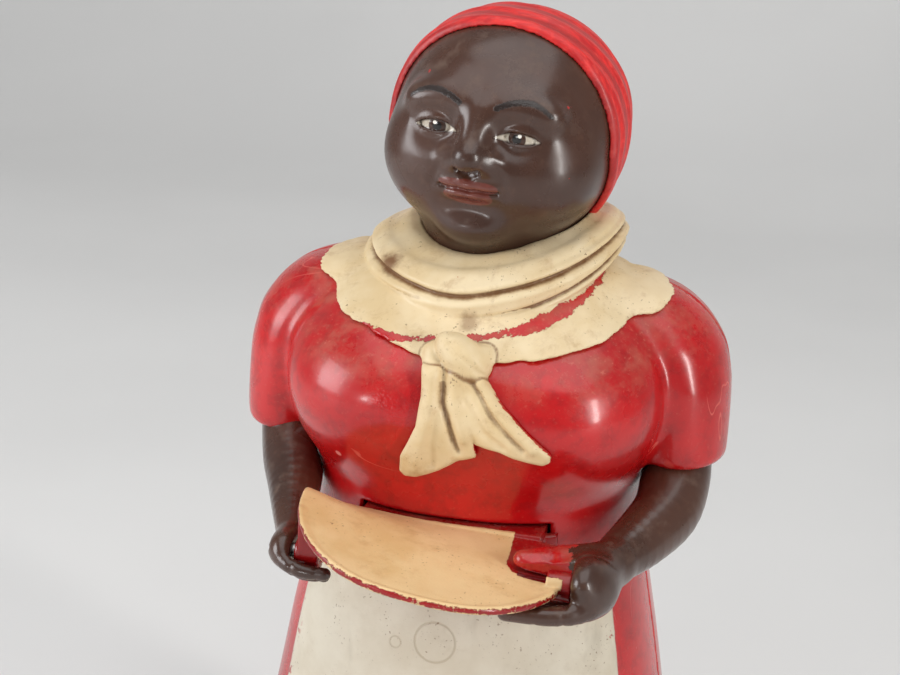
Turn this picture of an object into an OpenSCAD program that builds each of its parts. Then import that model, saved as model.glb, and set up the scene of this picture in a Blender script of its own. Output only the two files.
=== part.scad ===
// Figural mechanical coin bank. A standing figure in a short-sleeved red dress
// holds a tray at the waist. A coin is laid on the tray and the bow-shaped
// thumb pad at the back is pressed: the lever swings, the tray tips on the pins
// in the two hands, and the coin slides through the slot at the waist into the
// hollow skirt. A stopper in the base lets the coins out.
// The figure faces -Y, +X is the figure's left, Z = 0 is the surface it stands on.

/* [Shells] */
// Wall thickness of the moulded shells
wall = 2; // [1.6:0.1:2.2]
// Thickness of the base plate
base_t = 3; // [3:0.5:4]
// Facets round each shell
ring_n = 44; // [36:4:56]

/* [Tray] */
// Half of the tray's width
tray_hw = 20.6; // [19:0.2:20.8]
// Reach of the tray's front edge from the figure's axis
tray_front = 54.5; // [50:0.5:56]
// Thickness of the tray floor
tray_t = 2; // [1.6:0.1:2]
// Height of the rim round the tray
tray_rim = 1.1; // [0.6:0.1:1.4]

/* [Mechanism] */
// Radius of the lever's axle
axle_r = 1.5; // [1.2:0.1:1.6]
// Radius of the tray pins and of the drive pins
pin_r = 1; // [0.8:0.1:1]
// Radial clearance where a part turns on its pin
run = 0.05; // [0.03:0.01:0.08]
// Turns of the return spring
spring_turns = 6; // [4:1:7]
// Radius of the spring wire
wire_r = 0.3; // [0.2:0.05:0.35]
// Width of the coin channel, for a coin of 24.3 mm
channel_w = 25.4; // [25:0.1:25.4]

/* [Coin trap] */
// Radius of the stopper's barrel
trap_r = 17; // [13:0.5:17]

/* [Hidden] */
$fn = 48;

// z, half width, front depth, rear depth of the dress, from hem to neck
DRESS = [[3, 38.6, 33.6, 32.6], [6, 39, 34, 33], [14, 38.2, 33.2, 32.2],
         [26, 36.4, 31.6, 30.6], [40, 34.2, 29.9, 28.8], [54, 31.8, 28.2, 27],
         [66, 29.8, 26.9, 25.4], [76, 27.8, 25.6, 24], [83, 26.5, 24.8, 22.9],
         [89, 26, 24.5, 22.4], [94, 26.6, 25.2, 22.4], [100, 28.2, 27.2, 22.8],
         [106, 29.6, 28.9, 23.2], [111, 30, 28.9, 23.3], [115, 29.6, 27.4, 23],
         [118.4, 28.2, 24.4, 22], [121.8, 25.4, 20, 20], [125.2, 20, 15.4, 16.4],
         [127.6, 15.4, 12.4, 13], [129, 13.4, 11.6, 11.8]];
// z, centre x, centre y, radius x, radius y of a sleeve
SLEEVE = [[97, 30.4, -2.2, 7.4, 9.6], [98.5, 30.5, -2.2, 7.9, 10.2], [104, 30.6, -1.6, 8.1, 11],
          [110, 30.2, -1, 8.2, 11.6], [115.8, 28.6, -0.6, 8.6, 11.8], [120, 26, -0.4, 8.6, 10.6],
          [123.4, 22.8, -0.2, 7.8, 8.6], [125.4, 20, 0, 5.6, 6]];
// z, radius x, front radius, rear radius of the head
HEAD = [[129.1, 11.3, 11.2, 11.4], [130.7, 11.6, 12.2, 12], [133, 12.6, 14.6, 13.2],
        [135.8, 14.2, 16.4, 14.8], [139.5, 16, 17.6, 16.6], [143.3, 17.2, 18.4, 18],
        [147, 17.9, 18.9, 18.9], [150.7, 18.1, 18.9, 19.3], [154.4, 17.7, 18.2, 19],
        [158.1, 16.2, 16.4, 17.4], [161.4, 13.4, 13.4, 14.4], [163.7, 9.8, 9.6, 10.6],
        [165.2, 5.6, 5.4, 6]];

function col(t, k) = [for (p = t) [p[0], p[k]]];
function at(t, z, k) = lookup(z, col(t, k));
function sgn(v) = v < 0 ? -1 : 1;
// Superellipse ring with its own front (f) and rear (r) depth
function ring(a, f, r, e = 2.3, n = ring_n, cx = 0, cy = 0) =
    [for (i = [0 : n - 1]) let (t = 360 * i / n, c = cos(t), s = sin(t))
        [cx + a * sgn(c) * pow(abs(c), 2 / e),
         cy + (s < 0 ? f : r) * sgn(s) * pow(abs(s), 2 / e)]];
// Front depth of the dress at half width x and height z
function front_y(x, z, off = 0) =
    -(at(DRESS, z, 2) + off) * pow(max(0, 1 - pow(abs(x) / (at(DRESS, z, 1) + off), 2.3)), 1 / 2.3);

module slab(z0, p0, z1, p1) {
    hull() {
        translate([0, 0, z0]) linear_extrude(0.01) polygon(p0);
        translate([0, 0, z1 - 0.01]) linear_extrude(0.01) polygon(p1);
    }
}
module dress(off = 0, z_lo = 0) {
    for (i = [0 : len(DRESS) - 2]) if (DRESS[i][0] >= z_lo)
        slab(DRESS[i][0], ring(DRESS[i][1] + off, DRESS[i][2] + off, DRESS[i][3] + off),
             DRESS[i + 1][0] + (i == len(DRESS) - 2 ? 0 : 0.01),
             ring(DRESS[i + 1][1] + off, DRESS[i + 1][2] + off, DRESS[i + 1][3] + off));
}
module sleeve(off = 0) {
    for (sx = [-1, 1], i = [0 : len(SLEEVE) - 2])
        let (p = SLEEVE[i], q = SLEEVE[i + 1])
        slab(p[0], ring(p[3] + off, p[4] + off, p[4] + off, 2.1, 24, sx * p[1], p[2]),
             q[0] + 0.01, ring(q[3] + off, q[4] + off, q[4] + off, 2.1, 24, sx * q[1], q[2]));
}
module head(off = 0, z_hi = 200) {
    for (i = [0 : len(HEAD) - 2]) if (HEAD[i + 1][0] <= z_hi)
        slab(HEAD[i][0], ring(HEAD[i][1] + off, HEAD[i][2] + off, HEAD[i][3] + off, 2.05, 36, 0, -1),
             HEAD[i + 1][0] + 0.01, ring(HEAD[i + 1][1] + off, HEAD[i + 1][2] + off, HEAD[i + 1][3] + off, 2.05, 36, 0, -1));
}
module half_space(front = true) {
    translate([-100, front ? -100 : 0, -10]) cube([200, 100, 260]);
}

/* ---- positions of the mechanism ---- */
P_Y = -36;  P_Z = 87;     // tray pins, in the hands
D_Y = -15.2;  D_Z = 87;     // drive pins, at rest
B_Y = 11;   B_Z = 77;     // lever axle
slot_z0 = 80.4; slot_z1 = 90.7; slot_hw = 15;
SCREW_BASE = [[27, 20], [-27, 20], [27, -20.5], [-27, -20.5]];
SCREW_BACK = [[24, 24], [-24, 24], [17, 120.6], [-17, 120.6]];

/* ---- shells ---- */
module shell_outer() { dress(); sleeve(); }
module shell_inner() {
    intersection() { dress(-wall); translate([-60, -60, -1]) cube([120, 120, 124.6]); }
    intersection() { sleeve(-wall); translate([-60, -60, 99]) cube([120, 120, 24]); }
    translate([0, 0, 2]) linear_extrude(2) polygon(ring(36.6, 31.6, 30.6));
}
module shell_holes() {
    // neck hole for the plug, and the hem holes for the forearms
    translate([0, 0, 121.6]) cylinder(r = 9.1, h = 10);
    for (sx = [-1, 1]) hull() {
        translate([sx * 30.5, -3.2, 96]) cylinder(r = 6.4, h = 4, $fn = 32);
        translate([sx * 30.5, -1.6, 96]) cylinder(r = 6.4, h = 4, $fn = 32);
    }
}
module front_shell() {
    color([0.78, 0.05, 0.05]) intersection() {
        half_space(true);
        difference() {
            union() {
                difference() { shell_outer(); shell_inner(); }
                // bosses for the base screws and the back screws
                intersection() {
                    union() {
                        for (p = SCREW_BASE) if (p[1] < 0)
                            translate([p[0], p[1], 3]) cylinder(r = 3.6, h = 11, $fn = 28);
                        for (p = SCREW_BACK)
                            translate([p[0], 0, p[1]]) rotate([90, 0, 0]) cylinder(r = 3.4, h = 9, $fn = 24);
                        // ribs that tie the lower bosses to the side walls
                        for (sx = [-1, 1]) translate([sx * 31.5 - 7.5, -9, 23]) cube([15, 9, 2]);
                    }
                    shell_outer();
                }
            }
            shell_holes();
            // coin slot at the waist
            translate([-slot_hw, -40, slot_z0]) cube([2 * slot_hw, 28, slot_z1 - slot_z0]);
            for (p = SCREW_BASE) if (p[1] < 0)
                translate([p[0], p[1], 2]) cylinder(r = 1.35, h = 10.5, $fn = 28);
            for (p = SCREW_BACK)
                translate([p[0], 1, p[1]]) rotate([90, 0, 0]) cylinder(r = 1.35, h = 9, $fn = 28);
        }
    }
}
module rear_shell() {
    color([0.78, 0.05, 0.05]) intersection() {
        half_space(false);
        difference() {
            union() {
                difference() { shell_outer(); shell_inner(); }
                intersection() {
                    union() {
                        for (p = SCREW_BASE) if (p[1] > 0)
                            translate([p[0], p[1], 3]) cylinder(r = 3.6, h = 11, $fn = 28);
                        for (p = SCREW_BACK)
                            translate([p[0], 40, p[1]]) rotate([90, 0, 0]) cylinder(r = 3.8, h = 40, $fn = 28);
                        // pads for the lever bracket and the coin chute
                        for (sx = [-1, 1], z = [69, 85])
                            translate([sx * 9, 40, z]) rotate([90, 0, 0]) cylinder(r = 3, h = 40 - 16.6, $fn = 28);
                    }
                    shell_outer();
                }
            }
            shell_holes();
            // slot for the lever's stem
            translate([-3.6, 14, 88.6]) cube([7.2, 20, 11.4]);
            for (p = SCREW_BASE) if (p[1] > 0)
                translate([p[0], p[1], 2]) cylinder(r = 1.35, h = 10.5, $fn = 28);
            for (p = SCREW_BACK) {
                translate([p[0], 40, p[1]]) rotate([90, 0, 0]) cylinder(r = 1.5, h = 41, $fn = 28);
                translate([p[0], 40, p[1]]) rotate([90, 0, 0]) cylinder(r = 2.9, h = 34, $fn = 28);
            }
            for (sx = [-1, 1], z = [69, 85])
                translate([sx * 9, 20.6, z]) rotate([90, 0, 0]) cylinder(r = 1.05, h = 6, $fn = 28);
        }
    }
}
module neck_plug() {
    color([0.72, 0.05, 0.05]) difference() {
        union() {
            translate([0, 0, 121.8]) cylinder(r = 9, h = 17.2);
            translate([0, 0, 121.8]) cylinder(r = 10, h = 1.7);
        }
        translate([0, 0, 121.6]) cylinder(r = 6.6, h = 15.6);
    }
}
module head_core(lo, hi) {
    difference() {
        head(lo);
        difference() { head(lo - wall, 163.8); translate([-40, -40, 100]) cube([80, 80, 40.6]); }
        translate([0, 0, 126]) cylinder(r = 9.1, h = 13.6);
    }
}
module head_front() {
    color([0.33, 0.19, 0.12]) intersection() {
        translate([-40, -46, 120]) cube([80, 40, 80]);
        head_core(0);
    }
}
module head_scarf() {
    color([0.82, 0.06, 0.05]) intersection() {
        translate([-40, -5.9, 120]) cube([80, 60, 80]);
        head_core(0.6);
    }
}

/* ---- kerchief ---- */
// z, radius x, front radius, rear radius of the neck band
BAND = [[122.2, 16.2, 16.6, 15.4], [125.2, 19, 19.6, 17.6], [129.2, 19.6, 20, 18.2], [132, 18.6, 18.8, 17.6], [133.6, 16.6, 17, 16]];
module tail(p, q) {
    hull() for (v = concat(p, q)) translate([v[0], v[1], v[2]]) sphere(r = v[3], $fn = 16);
}
module kerchief() {
    color([0.9, 0.83, 0.68]) difference() {
        union() {
            // neck band
            for (i = [0 : len(BAND) - 2]) let (p = BAND[i], q = BAND[i + 1])
                slab(p[0], ring(p[1], p[2], p[3], 2.1, 36), q[0] + 0.01, ring(q[1], q[2], q[3], 2.1, 36));
            // collar lying on the shoulders
            intersection() {
                for (i = [13 : len(DRESS) - 2]) let (p = DRESS[i], q = DRESS[i + 1], o = 1.3)
                    slab(p[0], ring(p[1] + o, p[2] + o, p[3] + o, 2.3, 36), q[0] + 0.01, ring(q[1] + o, q[2] + o, q[3] + o, 2.3, 36));
                translate([0, 0, 137.4]) sphere(r = 30, $fn = 40);
            }
            // knot and the two tails
            hull() for (x = [-2.4, 2.4], z = [115, 119.6]) translate([x, -25 + (119.6 - z) * -0.35, z]) sphere(r = 2.6, $fn = 20);
            tail([[-1, -26.8, 116, 2]], [[-4.4, -28.8, 110, 1.7], [1.6, -29, 110, 1.7]]);
            tail([[-4.4, -28.8, 110, 1.7], [1.6, -29, 110, 1.7]], [[-7.4, -28.4, 101.2, 1.2], [2.2, -28.4, 101.6, 1.2]]);
            tail([[1.6, -26.8, 116, 2]], [[6.4, -28.3, 110, 1.8]]);
            tail([[6.4, -28.3, 110, 1.8]], [[8.6, -27.6, 104, 1.2], [15.4, -25.2, 102.4, 1.1]]);
        }
        dress(0.05, 80);
        sleeve(0.05);
        // room for the neck and chin
        head(0.75);
        translate([0, 0, 125]) cylinder(r1 = 13, r2 = 13.2, h = 12);
    }
}

/* ---- arms ---- */
ARM = [[30.5, -2.4, 101.5, 5.6], [30.6, -3, 97.2, 5.7], [31, -6.2, 92.6, 5.7],
       [30.6, -14, 88.2, 5.2], [28.6, -23, 86.4, 4.3], [26.2, -30.5, 86.6, 3.6]];
module limb(pts) {
    for (i = [0 : len(pts) - 2]) hull() {
        translate([pts[i][0], pts[i][1], pts[i][2]]) sphere(r = pts[i][3], $fn = 18);
        translate([pts[i + 1][0], pts[i + 1][1], pts[i + 1][2]]) sphere(r = pts[i + 1][3], $fn = 18);
    }
}
module forearm(sx) {
    mirror([sx < 0 ? 1 : 0, 0, 0]) difference() {
        union() {
            limb(ARM);
            // palm beside the tray, fingers under it, thumb over it
            limb([[26.2, -30.5, 86.6, 3.6], [24.4, -36, 86.4, 2.9], [23.6, -39.5, 85.6, 2.6]]);
            limb([[23.4, -37.6, 84.6, 2.4], [19.6, -41.4, 84, 1.9], [14.4, -43, 84.4, 1.6]]);
            limb([[25, -32.4, 88.4, 2.4], [22, -31.6, 91.9, 1.7], [16.6, -31.6, 92.1, 1.45]]);
        }
        // clear of the tray in every position
        yz(0, tray_hw + 0.5) polygon([[-60, 86.35], [-38.6, 86.35], [-38.6, 83.5], [-26.1, 83.5],
            [-26.1, 90.45], [-35.7, 90.45], [-35.7, 91.35], [-60, 91.35]]);
        translate([16, P_Y, P_Z]) rotate([0, 90, 0]) cylinder(r = pin_r + 0.03, h = 8.9, $fn = 40);
        // clear of the dress, and flat on the hem inside the sleeve
        dress(0.15, 60);
        translate([20, -20, 99 + 3.5]) cube([30, 40, 10]);
    }
}
module forearm_left() { color([0.33, 0.19, 0.12]) forearm(1); }
module forearm_right() { color([0.33, 0.19, 0.12]) forearm(-1); }

/* ---- tray and its drive ---- */
// Outline of the tray: a broad oval whose rear edge follows the waist
function tray_outer(o = 0) = ring(tray_hw + o, tray_front - 24 + o, 6 + o, 2.5, 72, 0, -24);
module tray_plan(o = 0) {
    difference() {
        polygon(tray_outer(o));
        polygon(ring(26 + 1 - o, 24.6 + 1 - o, 30, 2.3, 96));
    }
}
module tray() {
    color([0.9, 0.8, 0.6]) {
        difference() {
            union() {
                translate([0, 0, 90 - tray_t]) linear_extrude(tray_t) tray_plan();
                // raised rim round the front and sides
                translate([0, 0, 89]) linear_extrude(1 + tray_rim) difference() {
                    intersection() { tray_plan(); translate([-30, -60]) square([60, 22.8]); }
                    polygon(tray_outer(-1.2));
                }
                // tongue through the slot
                translate([-14.2, -26, 90 - tray_t]) cube([28.4, 6.4, tray_t]);
                // cheeks that carry the drive pins
                for (x = [-14.2, channel_w / 2]) yz(x, x + 14.2 - channel_w / 2)
                    polygon([[-20.6, 90 - tray_t], [D_Y - 1.4, D_Z - 1.2], [D_Y + 2.6, D_Z], [D_Y + 2.6, 90], [-20.6, 90]]);
                for (x = [-14.2, channel_w / 2]) translate([x, D_Y, D_Z]) rotate([0, 90, 0]) cylinder(r = 2.6, h = 14.2 - channel_w / 2);
                // lugs for the tray pins
                for (x = [-20.2, 17]) translate([x, P_Y, P_Z]) rotate([0, 90, 0]) cylinder(r = 2.2, h = 3.2);
                for (x = [-20.2, 17]) translate([x, P_Y - 2.2, P_Z]) cube([3.2, 4.4, 1.4]);
                // shield under the rear edge, in front of the slot
                translate([0, 0, 81]) linear_extrude(8) intersection() {
                    difference() {
                        polygon(ring(28, 26.8, 20, 2.3, 96));
                        polygon(ring(26.7, 25.5, 30, 2.3, 96));
                    }
                    translate([-16, -40]) square([32, 30]);
                }
            }
            for (x = [-21, 16]) translate([x, P_Y, P_Z]) rotate([0, 90, 0]) cylinder(r = pin_r + run, h = 5);
            for (x = [-15, 12]) translate([x, D_Y, D_Z]) rotate([0, 90, 0]) cylinder(r = pin_r, h = 3);
        }
    }
}
module tray_pins() {
    color("silver") for (x = [-24.6, 17.2]) translate([x, P_Y, P_Z]) rotate([0, 90, 0]) cylinder(r = pin_r, h = 7.4);
}
module drive_pins() {
    color("silver") for (x = [-16.1, channel_w / 2 + 0.1]) translate([x, D_Y, D_Z]) rotate([0, 90, 0]) cylinder(r = pin_r, h = 16.1 - channel_w / 2 - 0.1);
}
module yz(x0, x1) { translate([x0, 0, 0]) rotate([90, 0, 90]) linear_extrude(x1 - x0) children(); }
module lever() {
    aim = atan2(D_Z - B_Z, D_Y - B_Y);
    color([0.7, 0.71, 0.73]) {
        for (x = [-15.7, 14.5]) difference() {
            yz(x, x + 1.2) difference() {
                union() {
                    hull() {
                        translate([D_Y, D_Z]) circle(r = 2.3);
                        translate([B_Y, B_Z]) circle(r = 3.2);
                    }
                    translate([B_Y, B_Z]) circle(r = 3.6);
                    polygon([[B_Y - 3, B_Z], [B_Y - 1.6, B_Z + 17], [B_Y + 3.2, B_Z + 17], [B_Y + 3.2, B_Z]]);
                }
                // slotted end that takes the drive pin
                translate([D_Y, D_Z]) rotate(aim) translate([-pin_r - 0.9, -pin_r - 0.2])
                    square([2 * pin_r + 1.1, 2 * pin_r + 0.4]);
            }
            translate([-30, B_Y, B_Z]) rotate([0, 90, 0]) cylinder(r = axle_r + run, h = 60);
        }
        // cross bar above the chute, and the stem to the pad
        translate([-15.7, B_Y - 1.6, B_Z + 13]) cube([31.4, 4.8, 4]);
        translate([-2.8, B_Y + 1, B_Z + 13]) cube([5.6, 18.3, 4]);
    }
}
module thumb_pad() {
    color([0.9, 0.83, 0.68]) difference() {
        union() {
            hull() for (x = [-1.6, 1.6]) translate([x, 30.3, 92]) rotate([-90, 0, 0]) cylinder(r = 3.4, h = 3, $fn = 32);
            for (sx = [-1, 1]) hull() {
                translate([sx * 3, 30.6, 92]) rotate([-90, 0, 0]) cylinder(r = 2, h = 2.2, $fn = 32);
                translate([sx * 9.4, 30.6, 93.2]) rotate([-90, 0, 0]) cylinder(r = 3.4, h = 2.2, $fn = 32);
                translate([sx * 9.8, 30.6, 90.4]) rotate([-90, 0, 0]) cylinder(r = 2.8, h = 2.2, $fn = 32);
            }
        }
        translate([0, 29, 92]) rotate([-90, 0, 0]) cylinder(r = 1.2, h = 6);
    }
}
module pad_rivet() {
    color("silver") {
        translate([0, 30.31, 92]) rotate([-90, 0, 0]) cylinder(r = 1.1, h = 3.2);
        translate([0, 33.31, 92]) rotate([-90, 0, 0]) cylinder(r = 1.9, h = 0.6);
    }
}
module lever_axle() {
    color("silver") translate([-19.6, B_Y, B_Z]) rotate([0, 90, 0]) cylinder(r = axle_r, h = 39.2);
}
module axle_clips() {
    color("silver") for (x = [-19.2, 18.6]) translate([x, B_Y, B_Z]) rotate([0, 90, 0]) difference() {
        cylinder(r = 2.7, h = 0.6);
        translate([0, 0, -1]) cylinder(r = axle_r, h = 3);
    }
}
module lever_bracket() {
    color([0.62, 0.63, 0.65]) difference() {
        union() {
            translate([-18.4, 15, 65.6]) cube([36.8, 1.5, 10.4]);
            translate([-12.2, 15, 65.6]) cube([24.4, 1.5, 22.4]);
            for (x = [-18.4, 17]) yz(x, x + 1.4) hull() {
                translate([B_Y, B_Z]) circle(r = 3.2);
                translate([15, 66]) square([1.5, 10]);
            }
        }
        translate([-30, B_Y, B_Z]) rotate([0, 90, 0]) cylinder(r = axle_r, h = 60);
        for (sx = [-1, 1], z = [69, 85]) translate([sx * 9, 10, z]) rotate([-90, 0, 0]) cylinder(r = 1.25, h = 10);
        // window behind the spring
        translate([-6, 10, 73]) cube([12, 10, 9]);
    }
}
module pan_screw(l, r, hr, hh) {
    translate([0, 0, -hh]) difference() {
        cylinder(r = hr, h = hh);
        translate([-hr, -0.3, -0.1]) cube([2 * hr, 0.6, 0.5]);
    }
    cylinder(r = r, h = l);
}
module bracket_screws() {
    color("silver") for (sx = [-1, 1]) translate([sx * 9, 15, 85]) rotate([-90, 0, 0]) pan_screw(5, 1, 2, 1);
}
// Torsion spring round the axle, with one leg on the cross bar and one on the bracket
module return_spring() {
    rc = 2.35; n = spring_turns * 14; px = 2 * wire_r + 0.12;
    x0 = -spring_turns * px / 2;
    c = [for (i = [0 : n]) let (t = 360 * i / 14) [x0 + px * i / 14, B_Y + rc * cos(t), B_Z + rc * sin(t)]];
    a = concat([[x0 - 0.1, 15 - wire_r, B_Z - 7.6], [x0 - 0.05, B_Y + rc + 0.2, B_Z - 3]], c,
               [[x0 + spring_turns * px + 0.05, B_Y + rc - 0.2, B_Z + 3], [x0 + spring_turns * px + 0.1, B_Y + rc - 1.6, B_Z + 11.4]]);
    m = len(a);
    pts = [for (i = [0 : m - 1])
        let (d = a[min(i + 1, m - 1)] - a[max(i - 1, 0)], u = d / norm(d),
             v0 = [1, 0, 0] - u * u[0], v = v0 / norm(v0), w = cross(u, v))
        for (k = [0 : 5]) a[i] + wire_r * (cos(60 * k) * v + sin(60 * k) * w)];
    color("dimgray") polyhedron(points = pts, faces = concat(
        [[for (k = [0 : 5]) k]], [[for (k = [5 : -1 : 0]) (m - 1) * 6 + k]],
        [for (i = [0 : m - 2], k = [0 : 5]) [i * 6 + k, (i + 1) * 6 + k, (i + 1) * 6 + (k + 1) % 6, i * 6 + (k + 1) % 6]]));
}
module coin_chute() {
    color([0.75, 0.75, 0.72]) difference() {
        union() {
            // side walls, back wall, and feet on the rear shell's lower pads
            for (x = [-(channel_w / 2 + 1.2), channel_w / 2]) translate([x, -11.6, 60]) cube([1.2, 19, 24.4]);
            translate([-(channel_w / 2 + 1.2), 6.2, 60]) cube([channel_w + 2.4, 1.2, 24.4]);
            for (sx = [-1, 1]) translate([sx * 9 - 3.2, 6.2, 65.7]) cube([6.4, 8.7, 1.2]);
            for (sx = [-1, 1]) translate([sx * 9 - 3.2, 13.7, 65.7]) cube([6.4, 1.2, 6.3]);
        }
        for (sx = [-1, 1]) translate([sx * 9, 10, 69]) rotate([-90, 0, 0]) cylinder(r = 1.25, h = 10);
        // screwdriver holes in the back wall
        for (sx = [-1, 1]) translate([sx * 9, 4, 69.6]) rotate([-90, 0, 0]) cylinder(r = 2.6, h = 5);
    }
}
module chute_screws() {
    color("silver") for (sx = [-1, 1]) translate([sx * 9, 13.7, 69]) rotate([-90, 0, 0]) pan_screw(6.3, 1, 2, 1);
}

/* ---- base ---- */
module base_plate() {
    color([0.7, 0.04, 0.04]) difference() {
        union() {
            linear_extrude(base_t) polygon(ring(38.6, 33.6, 32.6, 2.3, 96));
            translate([0, 0, base_t]) cylinder(r = trap_r + 2.4, h = 3);
        }
        translate([0, 0, -1]) cylinder(r = trap_r, h = 12, $fn = 96);
        translate([0, 0, -1]) cylinder(r = trap_r + 1.9, h = 2.5, $fn = 96);
        for (p = SCREW_BASE) {
            translate([p[0], p[1], -1]) cylinder(r = 1.5, h = 12);
            translate([p[0], p[1], -1]) cylinder(r = 3, h = 2.7);
        }
    }
}
module base_screws() {
    color("silver") for (p = SCREW_BASE) translate([p[0], p[1], 1.7]) pan_screw(9.6, 1.2, 2.7, 1.2);
}
module shell_screws() {
    color("silver") for (p = SCREW_BACK) translate([p[0], 6, p[1]]) rotate([90, 0, 0]) pan_screw(12.6, 1.2, 2.6, 1.5);
}
module trap_plug() {
    color([0.12, 0.12, 0.12]) difference() {
        union() {
            translate([0, 0, 0.3]) cylinder(r = trap_r + 1.6, h = 1.2, $fn = 96);
            translate([0, 0, 0.3]) cylinder(r = trap_r - 0.1, h = 6.9, $fn = 96);
        }
        // finger recess with a bar across it
        difference() {
            translate([0, 0, -1]) cylinder(r = trap_r - 4, h = 5.6);
            translate([-2, -trap_r, 0.3]) cube([4, 2 * trap_r, 6]);
        }
        translate([0, 0, 6.2]) cylinder(r = trap_r - 2.4, h = 3);
    }
}

front_shell();
rear_shell();
head_front();
head_scarf();
neck_plug();
kerchief();
forearm_left();
forearm_right();
tray();
tray_pins();
drive_pins();
lever();
thumb_pad();
pad_rivet();
lever_axle();
axle_clips();
lever_bracket();
bracket_screws();
return_spring();
coin_chute();
chute_screws();
base_plate();
base_screws();
shell_screws();
trap_plug();
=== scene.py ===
# Looks for the figural mechanical bank: smooth shells, head, kerchief, arms, tray and
# bow, built as distance fields in millimetres and meshed, with procedural paint.
import bpy, math
import numpy as np
import openvdb as vdb
from mathutils import Vector, Matrix


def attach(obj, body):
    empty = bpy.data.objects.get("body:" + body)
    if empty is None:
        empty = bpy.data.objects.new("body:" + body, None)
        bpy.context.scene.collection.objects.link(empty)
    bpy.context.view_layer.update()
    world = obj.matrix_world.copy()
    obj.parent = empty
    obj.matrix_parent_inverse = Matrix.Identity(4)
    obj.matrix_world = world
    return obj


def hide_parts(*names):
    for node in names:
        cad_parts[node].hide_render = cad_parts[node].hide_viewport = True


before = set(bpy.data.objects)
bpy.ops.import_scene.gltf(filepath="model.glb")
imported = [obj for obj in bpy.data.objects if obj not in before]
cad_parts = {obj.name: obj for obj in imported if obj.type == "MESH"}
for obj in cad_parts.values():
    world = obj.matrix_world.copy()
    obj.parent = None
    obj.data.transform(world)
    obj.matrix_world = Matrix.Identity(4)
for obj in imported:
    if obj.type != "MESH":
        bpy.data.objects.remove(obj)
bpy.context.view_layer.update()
F = np.float32

# ------------------------------------------------------------------ field helpers
def sstep(t):
    t = np.clip(t, 0, 1)
    return t * t * (3 - 2 * t)

def smin(a, b, k):
    h = np.maximum(k - np.abs(a - b), 0) / k
    return np.minimum(a, b) - h * h * k * 0.25

def smax(a, b, k):
    h = np.maximum(k - np.abs(a - b), 0) / k
    return np.maximum(a, b) + h * h * k * 0.25

def ell(x, y, z, c, r):
    px, py, pz = x - c[0], y - c[1], z - c[2]
    k0 = np.sqrt((px / r[0]) ** 2 + (py / r[1]) ** 2 + (pz / r[2]) ** 2) + 1e-6
    k1 = np.sqrt((px / r[0] ** 2) ** 2 + (py / r[1] ** 2) ** 2 + (pz / r[2] ** 2) ** 2) + 1e-6
    return k0 * (k0 - 1) / k1

def rot(x, y, z, c, axis, deg):
    # coordinates of a point in a frame turned by deg about axis through c
    px, py, pz = x - c[0], y - c[1], z - c[2]
    a = math.radians(deg); cs, sn = math.cos(a), math.sin(a)
    if axis == "x": py, pz = cs * py + sn * pz, -sn * py + cs * pz
    if axis == "y": px, pz = cs * px - sn * pz, sn * px + cs * pz
    if axis == "z": px, py = cs * px + sn * py, -sn * px + cs * py
    return px + c[0], py + c[1], pz + c[2]

def cone(x, y, z, a, b, ra, rb):
    # capsule whose radius runs from ra to rb
    bx, by, bz = b[0] - a[0], b[1] - a[1], b[2] - a[2]
    L2 = bx * bx + by * by + bz * bz
    px, py, pz = x - a[0], y - a[1], z - a[2]
    t = np.clip((px * bx + py * by + pz * bz) / L2, 0, 1)
    return np.sqrt((px - t * bx) ** 2 + (py - t * by) ** 2 + (pz - t * bz) ** 2) - (ra + (rb - ra) * t)

def chain(x, y, z, pts, k=1.5):
    d = None
    for p, q in zip(pts[:-1], pts[1:]):
        e = cone(x, y, z, p[:3], q[:3], p[3], q[3])
        d = e if d is None else smin(d, e, k)
    return d

def boxd(x, y, z, lo, hi):
    cx, cy, cz = [(lo[i] + hi[i]) / 2 for i in range(3)]
    hx, hy, hz = [(hi[i] - lo[i]) / 2 for i in range(3)]
    qx, qy, qz = np.abs(x - cx) - hx, np.abs(y - cy) - hy, np.abs(z - cz) - hz
    return np.sqrt(np.maximum(qx, 0) ** 2 + np.maximum(qy, 0) ** 2 + np.maximum(qz, 0) ** 2) \
        + np.minimum(np.maximum(qx, np.maximum(qy, qz)), 0)

def cyl(x, y, z, axis, c, r, lo, hi):
    if axis == "x": u, v, w = y - c[0], z - c[1], x
    if axis == "y": u, v, w = x - c[0], z - c[1], y
    if axis == "z": u, v, w = x - c[0], y - c[1], z
    d = np.sqrt(u * u + v * v) - r
    e = np.abs(w - (lo + hi) / 2) - (hi - lo) / 2
    return np.maximum(d, e)

def poly2(u, v, pts):
    # signed distance to a polygon in a plane
    pts = np.array(pts, float); n = len(pts)
    d = None; s = None
    for i in range(n):
        a, b = pts[i], pts[(i + 1) % n]
        ex, ey = b - a
        wx, wy = u - a[0], v - a[1]
        t = np.clip((wx * ex + wy * ey) / (ex * ex + ey * ey), 0, 1)
        dd = (wx - ex * t) ** 2 + (wy - ey * t) ** 2
        d = dd if d is None else np.minimum(d, dd)
        c = ((v >= a[1]) & (v < b[1]) & (ex * wy > ey * wx)) | ((v < a[1]) & (v >= b[1]) & (ex * wy < ey * wx))
        s = c if s is None else s ^ c
    return np.sqrt(d) * np.where(s, -1.0, 1.0)

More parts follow.
